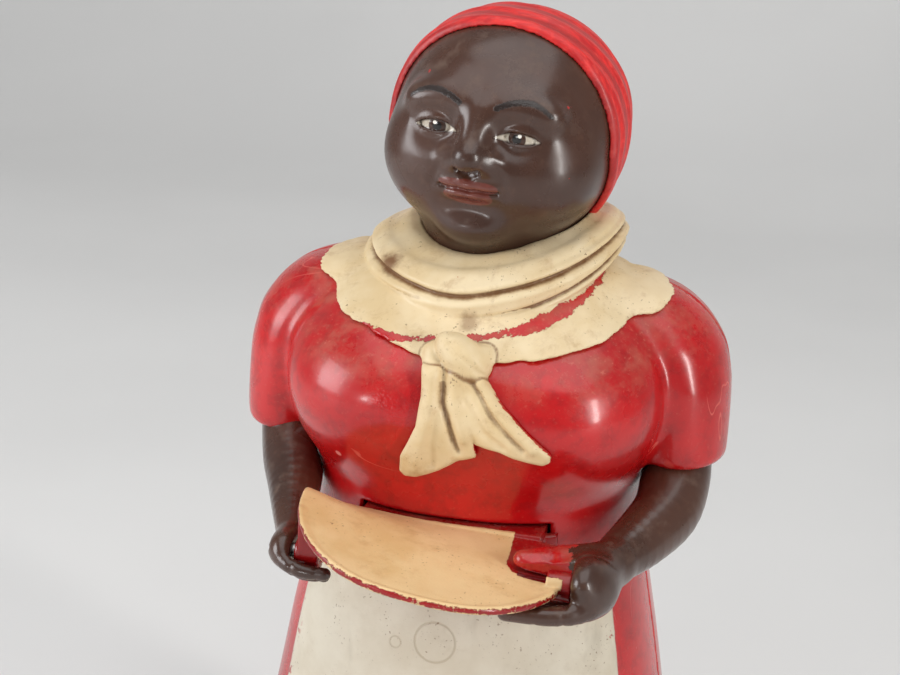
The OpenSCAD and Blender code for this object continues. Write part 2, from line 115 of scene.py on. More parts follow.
def table(rows, sig=1.5, step=0.1):
    rows = np.array(rows, float)
    zz = np.arange(rows[0, 0] - 12, rows[-1, 0] + 12, step)
    n = int(4 * sig / step)
    ker = np.exp(-0.5 * (np.arange(-n, n + 1) * step / sig) ** 2); ker /= ker.sum()
    cols = []
    for k in range(1, rows.shape[1]):
        v = np.interp(zz, rows[:, 0], rows[:, k])
        s0 = (rows[1, k] - rows[0, k]) / (rows[1, 0] - rows[0, 0])
        s1 = (rows[-1, k] - rows[-2, k]) / (rows[-1, 0] - rows[-2, 0])
        v = np.where(zz < rows[0, 0], rows[0, k] + s0 * (zz - rows[0, 0]), v)
        v = np.where(zz > rows[-1, 0], rows[-1, k] + s1 * (zz - rows[-1, 0]), v)
        v = np.convolve(np.pad(v, n, mode="edge"), ker, mode="valid")
        cols.append(v)
    return lambda z: [np.interp(z, zz, c).astype(F) if isinstance(z, np.ndarray) else float(np.interp(z, zz, c)) for c in cols]

# Smooth deterministic noise from a few sine waves, for soft hand-made unevenness
_rng = np.random.RandomState(7)
_W = [(_rng.normal(size=3), _rng.uniform(0, 6.28)) for _ in range(9)]
def wob(x, y, z, wl):
    s = 0
    for d, p in _W:
        d = d / np.linalg.norm(d) * 6.283 / wl
        s = s + np.sin(x * d[0] + y * d[1] + z * d[2] + p)
    return s / 4.2

# ------------------------------------------------------------------ meshing
def newton(fn, p, h, n=3):
    e = 0.04
    for _ in range(n):
        x, y, z = p[:, 0], p[:, 1], p[:, 2]
        d = fn(x, y, z)
        g = np.stack([fn(x + e, y, z) - fn(x - e, y, z), fn(x, y + e, z) - fn(x, y - e, z),
                      fn(x, y, z + e) - fn(x, y, z - e)], -1) / (2 * e)
        g2 = np.maximum((g * g).sum(-1), 0.15)
        st = (d / g2)[:, None] * g
        ln = np.sqrt((st * st).sum(-1)) + 1e-9
        p = p - st * np.minimum(1, 0.6 * h / ln)[:, None]
    return p

def field_mesh(name, fn, lo, hi, h, relax=2, body="figure", mat=None, replaces=(), keep=1):
    lo = np.array(lo, float); hi = np.array(hi, float)
    ax = [np.arange(lo[i], hi[i] + h, h).astype(F) for i in range(3)]
    X, Y, Z = ax[0][:, None, None], ax[1][None, :, None], ax[2][None, None, :]
    D = np.empty((len(ax[0]), len(ax[1]), len(ax[2])), F)
    step = max(8, int(3.0e6 / (D.shape[1] * D.shape[2])))
    for i in range(0, D.shape[0], step):
        D[i:i + step] = fn(X[i:i + step], Y, Z)
    g = vdb.FloatGrid(float(3 * h))
    g.copyFromArray(np.clip(D, -3 * h, 3 * h))
    pts, tris, quads = g.convertToPolygons(0.0, 0.0)
    p = np.array(pts, float) * h + lo
    q = np.array(quads, int)
    # neighbours
    e = np.concatenate([q[:, [0, 1]], q[:, [1, 2]], q[:, [2, 3]], q[:, [3, 0]]])
    a = np.concatenate([e[:, 0], e[:, 1]]); b = np.concatenate([e[:, 1], e[:, 0]])
    cnt = np.maximum(np.bincount(a, minlength=len(p)), 1)
    p = newton(fn, p, h, 2)
    for _ in range(relax):
        m = np.stack([np.bincount(a, weights=p[b, i], minlength=len(p)) for i in range(3)], -1) / cnt[:, None]
        p = p + 0.6 * (m - p)
        p = newton(fn, p, h, 2)
    me = bpy.data.meshes.new(name)
    me.vertices.add(len(p)); me.vertices.foreach_set("co", (p * 0.001).astype(F).ravel())
    q = q[:, ::-1]
    me.loops.add(q.size); me.loops.foreach_set("vertex_index", q.ravel().astype(np.int32))
    me.polygons.add(len(q)); me.polygons.foreach_set("loop_start", np.arange(0, q.size, 4, dtype=np.int32))
    me.update(calc_edges=True); me.validate()
    # outward facing
    v = np.empty(len(me.polygons) * 3, F); me.polygons.foreach_get("normal", v); v = v.reshape(-1, 3)
    c = np.empty(len(me.polygons) * 3, F); me.polygons.foreach_get("center", c); c = c.reshape(-1, 3) * 1000
    s = (fn(c[:, 0] + 0.1 * v[:, 0], c[:, 1] + 0.1 * v[:, 1], c[:, 2] + 0.1 * v[:, 2])
         - fn(c[:, 0] - 0.1 * v[:, 0], c[:, 1] - 0.1 * v[:, 1], c[:, 2] - 0.1 * v[:, 2]))
    if np.median(s) < 0: me.flip_normals()
    me.shade_smooth()
    ob = bpy.data.objects.new(name, me)
    bpy.context.scene.collection.objects.link(ob)
    if mat is not None: me.materials.append(mat)
    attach(ob, body)
    if replaces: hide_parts(*replaces)
    print("piece", name, "verts", len(p), "tris", 2 * len(q))
    return ob

def verts_mm(ob):
    v = np.empty(len(ob.data.vertices) * 3, F); ob.data.vertices.foreach_get("co", v)
    return v.reshape(-1, 3).astype(float) * 1000

def put_attr(ob, name, vals):
    at = ob.data.attributes.new(name, "FLOAT", "POINT")
    at.data.foreach_set("value", np.asarray(vals, F).ravel())

# ------------------------------------------------------------------ shapes of the dress
DRESS = [[3, 38.6, 33.6, 32.6], [6, 39, 34, 33], [14, 38.2, 33.2, 32.2], [26, 36.4, 31.6, 30.6], [40, 34.2, 29.9, 28.8],
         [54, 31.8, 28.2, 27], [66, 29.8, 26.9, 25.4], [76, 27.8, 25.6, 24], [83, 26.5, 24.8, 22.9], [89, 26, 24.5, 22.4],
         [94, 26.6, 25.2, 22.4], [100, 28.2, 27.2, 22.8], [106, 29.6, 28.9, 23.2], [111, 30, 28.9, 23.3],
         [115, 29.6, 27.4, 23], [118.4, 28.2, 24.4, 22], [121.8, 25.4, 20, 20], [125.2, 20, 15.4, 16.4],
         [127.6, 15.4, 12.4, 13], [129, 13.4, 11.6, 11.8]]
SLEEVE = [[97, 31.6, -2.4, 7.0, 9.4], [98.5, 31.7, -2.4, 7.15, 9.7], [104, 31.5, -2, 7.3, 10.4], [110, 30.8, -1.4, 7.8, 11.2],
          [115.8, 28.8, -0.8, 8.6, 11.6], [120, 26, -0.4, 8.6, 10.6], [123.4, 22.8, -0.2, 7.8, 8.6], [125.4, 20, 0, 5.6, 6]]
DR, SL = table(DRESS, 1.4), table(SLEEVE, 1.2)
SCREW_BASE = [(27, 20), (-27, 20), (27, -20.5), (-27, -20.5)]
SCREW_BACK = [(24, 24), (-24, 24), (17, 120.6), (-17, 120.6)]

def dress_core(x, y, z, off=0.0):
    a, f, r = DR(z)
    b = np.maximum(f + (r - f) * sstep((y + 6) / 12) + off, 2)
    a = np.maximum(a + off, 2)
    e = 2.3 + 0.55 * sstep((z - 92) / 9) * sstep((121 - z) / 9)
    q = (np.abs(x) / a + 1e-5) ** e + (np.abs(y) / b + 1e-5) ** e
    rho = q ** (1 / e)
    L = np.sqrt(x * x + y * y) + 1e-4
    return L - L / rho

def sleeves(x, y, z, off=0.0):
    cx, cy, rx, ry = SL(z)
    u, v = np.abs(x) - cx, y - cy
    rho = np.sqrt((u / np.maximum(rx + off, 1)) ** 2 + (v / np.maximum(ry + off, 1)) ** 2) + 1e-5
    L = np.sqrt(u * u + v * v) + 1e-4
    d = (L - L / rho) * 0.95
    d = smax(d, z - (125.0 + off), 3.0)
    return smax(d, 97.1 + 0.02 * x - z, 1.3)

def bust(x, y, z):
    # two soft swells with a shallow valley between them
    return ell(np.abs(x), y, z, (12.6, -12.5, 107.4), (15.4, 16.9, 11.5))

def torso(x, y, z):
    d = smin(dress_core(x, y, z), bust(x, y, z), 5.0)
    return smax(d, z - 128.6, 1.5)

AP_T = 0.872          # the apron reaches this share of the half width
def apron_field(x, y, z):
    # millimetres inside the apron's border, negative outside
    a, f, r = DR(z)
    side = (AP_T - np.abs(x) / a) * a * 1.35
    side = np.minimum(side, -y - 4)
    d = -smax(-side, 15.5 - z, 7.0)
    return np.minimum(d, 84.0 - z)

def tie_field(x, y, z):
    # the apron's waist tie, going back to the bow
    half = 2.1 + 0.5 * sstep((np.abs(x) - 18) / 8)
    zc = 83.0 + 8.4 * sstep((y + 4) / 30)
    d = half - np.abs(z - zc)
    return d

def outer(x, y, z):
    d = smin(torso(x, y, z), sleeves(x, y, z), 1.9)
    ap = apron_field(x, y, z)
    d = d - 0.22 * sstep((ap + 0.3) / 0.6)
    ti = tie_field(x, y, z)
    d = d - 0.3 * sstep((ti + 0.3) / 0.7) * (d < 3)
    # soft unevenness of a hand-finished mould
    return d - 0.10 * wob(x, y, z, 23.0)

def inner(x, y, z):
    d = smax(dress_core(x, y, z, -2.0), z - 123.5, 0.6)
    s = smax(sleeves(x, y, z, -2.0), np.maximum(z - 122.8, 99.4 - z), 0.6)
    d = np.minimum(d, s)
    return d

def shell_holes(x, y, z):
    d = cyl(x, y, z, "z", (0, 0), 9.1, 121.0, 140.0)
    u = np.abs(x) - 31.2
    v = np.maximum(np.abs(y + 2.8) - 0.8, 0)
    arm = np.maximum(np.sqrt(u * u + v * v) - 6.0, np.abs(z - 98) - 2.5)
    return np.minimum(d, arm)

def front_fn(x, y, z):
    d = smax(outer(x, y, z), -inner(x, y, z), 0.35)
    b = None
    for px, py in SCREW_BASE:
        if py < 0:
            c = cyl(x, y, z, "z", (px, py), 3.6, 3, 14); b = c if b is None else np.minimum(b, c)
    for px, pz in SCREW_BACK:
        c = cyl(x, y, z, "y", (px, pz), 3.4, -9, 1); b = np.minimum(b, c)
    b = np.minimum(b, boxd(np.abs(x), y, z, (24, -9, 23), (39, 1, 25)))
    d = smin(d, np.maximum(b, outer(x, y, z) + 0.4), 0.5)
    h = shell_holes(x, y, z)
    h = np.minimum(h, boxd(x, y, z, (-14.75, -40, 80.4), (14.75, -12, 90.45)))
    for px, py in SCREW_BASE:
        if py < 0: h = np.minimum(h, cyl(x, y, z, "z", (px, py), 1.35, 1, 12.5))
    for px, pz in SCREW_BACK:
        h = np.minimum(h, cyl(x, y, z, "y", (px, pz), 1.35, -8, 1))
    d = smax(d, -h, 0.5)
    d = smax(d, y + 0.03, 0.5)
    return smax(d, 3.05 - z, 0.6)

def rear_fn(x, y, z):
    d = smax(outer(x, y, z), -inner(x, y, z), 0.35)
    b = None
    for px, py in SCREW_BASE:
        if py > 0:
            c = cyl(x, y, z, "z", (px, py), 3.6, 3, 14); b = c if b is None else np.minimum(b, c)
    for px, pz in SCREW_BACK:
        b = np.minimum(b, cyl(x, y, z, "y", (px, pz), 3.8, -1, 40))
    for sx in (-9, 9):
        for pz in (69, 85): b = np.minimum(b, cyl(x, y, z, "y", (sx, pz), 3.0, 16.6, 40))
    d = smin(d, np.maximum(b, outer(x, y, z) + 0.4), 0.5)
    h = shell_holes(x, y, z)
    h = np.minimum(h, boxd(x, y, z, (-3.6, 14, 88.6), (3.6, 40, 99)))
    for px, py in SCREW_BASE:
        if py > 0: h = np.minimum(h, cyl(x, y, z, "z", (px, py), 1.35, 1, 12.5))
    for px, pz in SCREW_BACK:
        h = np.minimum(h, cyl(x, y, z, "y", (px, pz), 1.5, -2, 41))
        h = np.minimum(h, cyl(x, y, z, "y", (px, pz), 2.9, 6, 41))
    for sx in (-9, 9):
        for pz in (69, 85): h = np.minimum(h, cyl(x, y, z, "y", (sx, pz), 1.05, 14, 20.6))
    d = smax(d, -h, 0.5)
    d = smax(d, 0.03 - y, 0.5)
    return smax(d, 3.05 - z, 0.6)

# ------------------------------------------------------------------ neck scarf
COLLAR_A = np.radians([0, 11, 20, 33, 46, 58, 68, 78, 90, 102, 180])
COLLAR_Z = np.array([116.0, 116.3, 117.1, 118.2, 119.1, 120.3, 121.7, 123.3, 124.6, 125.4, 125.4])
TAIL_L = [(-4.8, 116), (-4.4, 111.2), (-5.0, 106.6), (-7.4, 101.3), (-7.6, 98.6), (-6.9, 97.6), (-5.1, 97.6),
          (-1.6, 99.2), (1.6, 101.5), (4.2, 102.6), (3.4, 106.4), (2.2, 111.0), (1.2, 116)]
TAIL_R = [(0.6, 116), (4.6, 114.8), (7.2, 111.8), (10.6, 108.7), (15.3, 104.5), (15.4, 103.2), (14.2, 102.5), (11.4, 102.9),
          (7.7, 103.9), (4.0, 104.6), (2.2, 108), (0.4, 112)]

def seg2(u, v, a, b):
    ex, ey = b[0] - a[0], b[1] - a[1]
    t = np.clip(((u - a[0]) * ex + (v - a[1]) * ey) / (ex * ex + ey * ey), 0, 1)
    return np.sqrt((u - a[0] - ex * t) ** 2 + (v - a[1] - ey * t) ** 2)

def path2(u, v, pts):
    d = None
    for a, b in zip(pts[:-1], pts[1:]):
        e = seg2(u, v, a, b); d = e if d is None else np.minimum(d, e)
    return d

def gs(t, w):
    return np.exp(-(t / w) ** 2)

def band_parts(x, y, z):
    L = np.sqrt(x * x + (y + 0.2) ** 2) + 1e-4
    c = -y / L
    cp = np.maximum(c, 0)
    zt = z - 0.13 * x
    top = 132.5 - 4.4 * cp ** 1.6
    bot = 125.4 - 6.3 * cp ** 1.5 + 0.8 * np.maximum(-c, 0)
    u = (top - zt) / (top - bot)
    return L, c, cp, zt, top, bot, u

def band(x, y, z):
    L, c, cp, zt, top, bot, u = band_parts(x, y, z)
    b = np.where(y < 0, 1.045, 0.96)
    rho = np.sqrt(x * x + (y / b) ** 2) + 1e-4
    uu = np.clip(u, 0, 1)
    R = 18.0 + 1.9 * np.sin(np.pi * np.clip(uu * 0.86 + 0.04, 0, 1)) + 1.5 * uu * (0.35 + 0.65 * cp)
    right = sstep((x + 3) / 10)
    # folds of the rolled cloth
    uc = 0.40 - 0.10 * sstep(-x / 14) - 0.04 * right
    R = R - 0.85 * gs(u - uc, 0.05) + 0.34 * gs(u - uc + 0.12, 0.08) + 0.42 * gs(u - uc - 0.13, 0.08)
    R = R - 0.6 * right * gs(u - (0.63 + 0.12 * cp), 0.045) + 0.2 * right * gs(u - (0.63 + 0.12 * cp) - 0.1, 0.06)
    R = R - 0.30 * sstep((-x - 2) / 8) * gs(u - 0.66 + 0.2 * cp, 0.045)
    R = R - 0.26 * sstep((x - 8) / 6) * gs(u - 0.17, 0.035)
    dr = (rho - R) * L / rho
    d = smax(dr, (bot - zt) * 0.95, 1.7)
    d = smax(d, (zt - top - 1.3 * sstep((17.0 - rho) / 3.5)) * 0.95, 1.5)
    return smax(d, 11.9 - rho, 0.4)

def collar_z(x, y):
    a = np.arctan2(np.abs(x), -y)
    zc = np.interp(a, COLLAR_A, COLLAR_Z)
    zc = zc + 0.15 * np.sin(x * 0.35) + 0.05 * np.abs(x) * (x < 0) * 0.6
    back = 109.5 + 1.02 * np.sqrt(x * x + 1.5)
    return np.where(y > 0, np.minimum(zc, back + 16 * sstep((8 - y) / 8)), zc)

def collar(x, y, z, dd):
    th = 0.95 + 0.12 * np.sin(x * 0.8 + z * 0.3)
    d = smax(dd - th, (collar_z(x, y) - z) * 0.95, 0.55)
    return smax(d, z - 128.5, 0.6)

def tails(x, y, z, dd):
    q = smin(np.abs(x + 1.3) * 0.2, 3.0, 1.0)
    tl = poly2(x, z, TAIL_L)
    tr = poly2(x, z, TAIL_R)
    rise = sstep((z - 112) / 5)
    hl = 1.55 + 1.5 * rise - 0.75 * gs(path2(x, z, [(-1.4, 115.5), (-1.2, 110.8), (0.3, 106.5), (1.4, 103.4)]), 0.55) \
        + 0.45 * gs(path2(x, z, [(0.2, 115), (0.6, 110.8), (2.2, 105.4)]), 0.8) \
        + 0.55 * gs(path2(x, z, [(-3.0, 114.5), (-2.8, 109), (-4.4, 103), (-5.0, 99.4)]), 1.0) \
        - 0.35 * gs(path2(x, z, [(-1.9, 109), (-2.6, 104), (-2.6, 100.4)]), 0.6)
    hr = 1.25 + 1.8 * rise - 0.55 * gs(path2(x, z, [(3.2, 114), (6.4, 109.5), (11.2, 105.2)]), 0.6) \
        + 0.5 * gs(path2(x, z, [(4.2, 113.6), (7.6, 109.6), (12.6, 105.2)]), 0.75) \
        - 0.3 * gs(path2(x, z, [(2.4, 111), (5.2, 107), (8.2, 105.0)]), 0.5)
    a = smax(dd - hl, tl, 1.0)
    b = smax(dd - hr, tr, 0.9)
    return smin(a, b, 0.4)

def knot(x, y, z):
    q = rot(x, y, z, (1.0, -27.2, 117.2), "y", 34)
    k = ell(*q, (1.0, -27.2, 117.2), (4.9, 3.0, 2.75))
    k = smin(k, ell(x, y, z, (-3.2, -26.4, 116.2), (2.1, 2.1, 2.7)), 0.35)
    k = smin(k, ell(x, y, z, (3.9, -25.9, 116.6), (1.6, 1.9, 2.2)), 0.8)
    g = 0.30 * gs(q[2] - 117.9 + 0.12 * (q[0] - 1), 0.35) * (q[0] > -2)
    return k + g

def neck_fn(x, y, z):
    dd = outer(x, y, z)
    d = band(x, y, z)
    c = collar(x, y, z, dd)
    k = smin(knot(x, y, z), tails(x, y, z, dd), 0.8)
    d = smin(smin(d, c, 0.35), k, 0.5)
    d = d - 0.05 * wob(x, y, z, 3.4)
    d = smax(d, 0.03 - dd, 0.1)
    d = smax(d, 0.12 - head_any(x, y, z), 0.2)
    return np.maximum(d, -cyl(x, y, z, "z", (0, -0.5), 11.9, 120, 140))

# ------------------------------------------------------------------ head (generic face)
HC = (0.0, -1.0, 128.0)
HT, HY = 3.0, -6.5
def hl(x, y, z):
    x, y, z = rot(x, y, z, HC, "y", HT)
    return rot(x, y, z, HC, "z", HY)

def skull(x, y, z):
    d = ell(x, y, z, (0, 0.4, 148.6), (17.4, 18.0, 15.9))
    j = ell(x, y, z, (0, -4.6, 140.6), (13.9, 13.4, 11.2))
    d = smin(d, j, 9.0)
    ax = np.abs(x)
    d = smin(d, ell(ax, y, z, (8.4, -10.2, 142.9), (6.9, 6.7, 6.6)), 5.0)
    return smin(d, ell(x, y, z, (0, -14.1, 134.4), (4.8, 3.7, 3.3)), 4.0)

EYE_Z = 148.6
def face(x, y, z):
    ax = np.abs(x)
    d = skull(x, y, z)
    d = smin(d, ell(ax, y, z, (6.0, -15.0, 152.2), (5.6, 2.3, 2.1)), 4.2)
    d = smax(d, -ell(ax, y, z, (6.5, -20.2, 148.7), (4.4, 2.9, 3.1)), 2.6)
    # lids over the eyeballs
    lid = ell(ax, y, z, (6.3, -14.0, EYE_Z), (4.3, 3.9, 3.5))
    open_z = np.abs(z - (EYE_Z - 0.1) + 0.03 * (ax - 6.3) ** 2 * 0.6) - (0.92 - 0.060 * (ax - 6.3) ** 2)
    ball = ell(ax, y, z, (6.3, -13.9, EYE_Z), (3.8, 3.55, 3.3))
    lid = smax(lid, -open_z, 0.35)
    d = smin(d, lid, 0.7)
    d = smax(d, -smax(ell(ax, y, z, (6.3, -14.0, EYE_Z), (4.0, 3.75, 3.4)), open_z, 0.3), 0.3)
    d = smin(d, ball, 0.12)
    # nose
    n = cone(x, y, z, (0, -16.9, 151.2), (0, -19.9, 145.4), 1.35, 2.15)
    n = smin(n, ell(x, y, z, (0, -20.3, 145.0), (2.35, 2.1, 1.95)), 1.2)
    n = smin(n, ell(ax, y, z, (2.35, -18.7, 144.6), (1.65, 2.0, 1.5)), 0.9)
    d = smin(d, n, 2.6)
    d = smax(d, -ell(ax, y, z, (1.3, -20.3, 143.1), (0.6, 0.9, 0.7)), 0.6)
    # groove between nose and lips, lips, chin hollow
    d = smax(d, -ell(x, y, z, (0, -20.1, 142.4), (0.7, 0.9, 1.1)), 1.2)
    up = smin(ell(ax, y, z, (1.7, -18.0, 140.9), (2.9, 1.7, 0.95)), ell(x, y, z, (0, -18.3, 140.9), (1.2, 1.6, 0.85)), 0.8)
    lo = ell(x, y, z, (0, -17.9, 139.1), (3.5, 1.8, 1.2))
    d = smin(d, up, 1.1)
    d = smin(d, lo, 1.1)
    mouth = path2(ax, z, [(0, 139.95), (1.4, 140.12), (3.1, 139.98), (4.5, 140.15)])
    d = d + 0.5 * gs(mouth, 0.34) * sstep((-y - 12) / 4)
    d = smax(d, -ell(x, y, z, (0, -19.3, 136.9), (4.2, 1.7, 1.5)), 2.4)
    # soft fold beside the nose
    fold = path2(ax, z, [(3.6, 144.8), (5.0, 142.4), (5.7, 140.2)])
    d = d + 0.2 * gs(fold, 0.8) * sstep((-y - 10) / 4)
    return d

def scarf_edge(x, y, z):
    # positive in front of the scarf's front edge
    yy = -5.3 - 0.16 * (z - 148) * (z > 148) + 0.42 * np.maximum(145.5 - z, 0)
    return yy - y

def ears(x, y, z):
    ax = np.abs(x)
    e = ell(ax, y, z, (16.3, -3.4, 144.6), (1.3, 2.6, 3.6))
    return e

def head_any(x, y, z):
    a, b, c = hl(x, y, z)
    d = smin(skull(a, b, c) - 0.1, neck_part(a, b, c), 2.5)
    return d

def neck_part(x, y, z):
    return cyl(x, y, z, "z", (0, -1.5), 11.2, 128.0, 140.0)

def skin_fn(x, y, z):
    a, b, c = hl(x, y, z)
    d = face(a, b, c)
    d = smin(d, neck_part(a, b, c), 3.5)
    d = smax(d, -(skull(a, b, c) + 3.0), 0.6)
    d = smax(d, -cyl(a, b, c, "z", (0, -1.0), 8.6, 120, 139), 0.5)
    d = smax(d, -(scarf_edge(a, b, c) + 1.6), 0.4)
    return np.maximum(d, 129.05 - z)

def pleat_coord(x, y, z):
    # runs from the front edge back over the crown
    return scarf_edge(x, y, z) + 0.16 * np.abs(x) + 0.5 * np.sin(z * 0.25 + x * 0.1)

def scarf_fn(x, y, z):
    a, b, c = hl(x, y, z)
    s = -scarf_edge(a, b, c)
    t = -pleat_coord(a, b, c)
    w = 0.5 + 0.5 * np.cos(t * 2 * np.pi / 4.6 + 0.7 * np.sin(a * 0.15))
    fade = sstep(s / 3) * sstep((26 - s) / 10)
    d = skull(a, b, c) - 0.85 - 0.35 * w ** 3 * fade + 0.12
    d = d - 0.30 * gs(s - 1.0, 0.9)
    inner_ = skull(a, b, c) + 2.2
    d = smax(d, -s, 0.8)
    d = smin(d, np.maximum(neck_part(a, b, c) - 0.4, -s), 3.0)
    # knot at the nape with two short ends
    k = smin(ell(a, b, c, (0, 16.6, 138.6), (3.4, 2.6, 2.7)), ell(np.abs(a), b, c, (3.7, 15.6, 138.2), (2.6, 1.7, 2.2)), 0.8)
    e = cone(np.abs(a), b, c, (1.2, 16.8, 137.5), (3.6, 17.2, 132.4), 1.3, 1.5)
    e = smax(e, np.abs(b - 17.0) - 0.85, 0.5)
    d = smin(d, smin(k, e, 0.8), 0.7)
    d = smax(d, -inner_, 0.6)
    d = smax(d, -cyl(a, b, c, "z", (0, -1.0), 8.6, 120, 139), 0.5)
    d = smax(d, 0.04 - skin_fn(x, y, z), 0.1)
    return np.maximum(d, 129.05 - z)

# ------------------------------------------------------------------ arms and hands
ARM_L = [(31.2, -2.6, 103, 5.3), (31.4, -3.6, 98.4, 5.4), (31.7, -6.6, 94.4, 5.45), (31.2, -12.5, 91.3, 5.15),
         (28.4, -20, 89.3, 4.45), (25.6, -26.6, 88.2, 3.6), (24.4, -31.5, 87.4, 3.1), (24.0, -35.6, 86.7, 2.8)]
ARM_R = [(31.2, -2.6, 103, 5.3), (31.0, -3.8, 98.6, 5.4), (30.2, -6.8, 95.0, 5.3), (28.7, -12, 92.2, 4.9),
         (26.7, -18, 90.2, 4.2), (24.9, -25, 88.5, 3.1), (23.3, -31, 87.3, 2.3), (22.9, -36, 87, 1.9)]
CUT_R = [(-60, 87.7), (-38.6, 87.7), (-38.6, 84.2), (-22.0, 84.2), (-22.0, 96), (-60, 96)]
CUT = [(-60, 86.35), (-38.6, 86.35), (-38.6, 83.5), (-26.1, 83.5), (-26.1, 90.5), (-35.7, 90.5), (-35.7, 91.4), (-60, 91.4)]

def spline(pts, n=4):
    p = np.array(pts, float); out = []
    q = np.vstack([2 * p[0] - p[1], p, 2 * p[-1] - p[-2]])
    for i in range(1, len(q) - 2):
        for t in np.arange(n) / n:
            a, b, c, d = q[i - 1], q[i], q[i + 1], q[i + 2]
            out.append(0.5 * (2 * b + (c - a) * t + (2 * a - 5 * b + 4 * c - d) * t * t + (3 * b - a - 3 * c + d) * t ** 3))
    out.append(p[-1]); return [tuple(v) for v in out]

def tube(x, y, z, pts, n=4):
    d = None; q = spline(pts, n)
    for a, b in zip(q[:-1], q[1:]):
        e = cone(x, y, z, a[:3], b[:3], a[3], b[3])
        d = e if d is None else np.minimum(d, e)
    return d

FINGERS = [[(24.0, -37.8, 86.6, 2.2), (22.4, -40.8, 85.5, 1.75), (18.4, -42.8, 85.1, 1.4), (12.4, -43.4, 85.1, 1.25)],
           [(24.0, -35.8, 85.6, 2.0), (22.2, -38.6, 84.5, 1.6), (18.4, -40.1, 84.2, 1.3), (12.0, -40.6, 84.4, 1.15)],
           [(24.2, -33.0, 84.6, 1.9), (22.0, -35.4, 83.2, 1.4), (18.4, -36.8, 82.6, 1.15), (13.0, -37.2, 82.7, 1.05)],
           [(24.4, -30.6, 84.8, 1.8), (22.2, -32.2, 83.2, 1.35), (19.2, -33.4, 82.6, 1.1), (14.6, -33.8, 82.7, 1.0)]]
FINGERS_R = [[(22.8, -36.4, 86.6, 1.6), (21.8, -38.4, 86.0, 1.3), (19.0, -39.6, 85.4, 1.1), (15.4, -39.9, 85.5, 0.95)],
             [(22.8, -35.0, 86.0, 1.6), (21.6, -36.8, 84.8, 1.2), (19.0, -37.8, 84.2, 1.0), (16.0, -38.0, 84.3, 0.9)],
             [(22.8, -33.4, 85.8, 1.5), (21.4, -34.6, 84.2, 1.1), (19.0, -35.4, 83.5, 0.95), (16.8, -35.6, 83.6, 0.85)]]

def hand(x, y, z, left=True):
    d = tube(x, y, z, ARM_L if left else ARM_R)
    if left:
        pal = smin(ell(x, y, z, (24.0, -34.6, 87.4), (3.0, 5.6, 3.9)), ell(x, y, z, (23.8, -37.6, 87.2), (2.5, 4.2, 3.6)), 1.6)
    else:
        pal = ell(x, y, z, (22.9, -34.8, 87.0), (2.0, 3.8, 2.6))
    d = smin(d, pal, 2.0 if left else 1.4)
    fi = None
    for ch in (FINGERS if left else FINGERS_R):
        e = tube(x, y, z, ch, 3)
        fi = e if fi is None else smin(fi, e, 0.4)
    # knuckle creases
    fi = fi + 0.14 * gs(x - 20.6, 0.35) + 0.12 * gs(x - 16.6, 0.35)
    d = smin(d, fi, 1.1)
    if left:
        th = tube(x, y, z, [(25.4, -28.2, 88.2, 3.0), (23.4, -29.8, 89.3, 2.5), (20.0, -31.4, 89.3, 2.1), (16.4, -33.0, 89.4, 1.9), (13.0, -34.2, 89.5, 1.5)])
        th = smin(th, ell(x, y, z, (20.0, -33.2, 88.8), (6.6, 6.0, 1.9)), 2.0)
        th = smin(th, ell(x, y, z, (22.8, -37.4, 89.4), (2.7, 5.0, 3.0)), 2.0)
        th = th + 0.22 * gs(x - 17.0 + 0.15 * (y + 32), 0.45) * sstep((z - 89.4) / 1.5)
        th = th + 0.30 * gs((y + 36.4) - 0.35 * (x - 20), 0.5) * sstep((z - 89.4) / 1.5)
        d = smin(d, th, 1.4)
    return d

def arm_fn(x, y, z, left=True):
    d = hand(x, y, z, left)
    c = poly2(y, z, CUT if left else CUT_R)
    if left:
        c = np.maximum(c, x - 21.1)
        c = np.maximum(c, np.where(y > -35.9, z + 0.13 * x - 90.5, -9.0))
    else:
        c = np.maximum(c, x - 21.35 - 0.65 * sstep((y + 33.5) / 2))
    d = smax(d, -c, 0.3)
    d = np.maximum(d, -cyl(x, y, z, "x", (-36, 87), 1.03, 15, 24.9))
    d = smax(d, 0.16 - dress_core(x, y, z), 0.2)
    return np.maximum(d, z - 102.5)

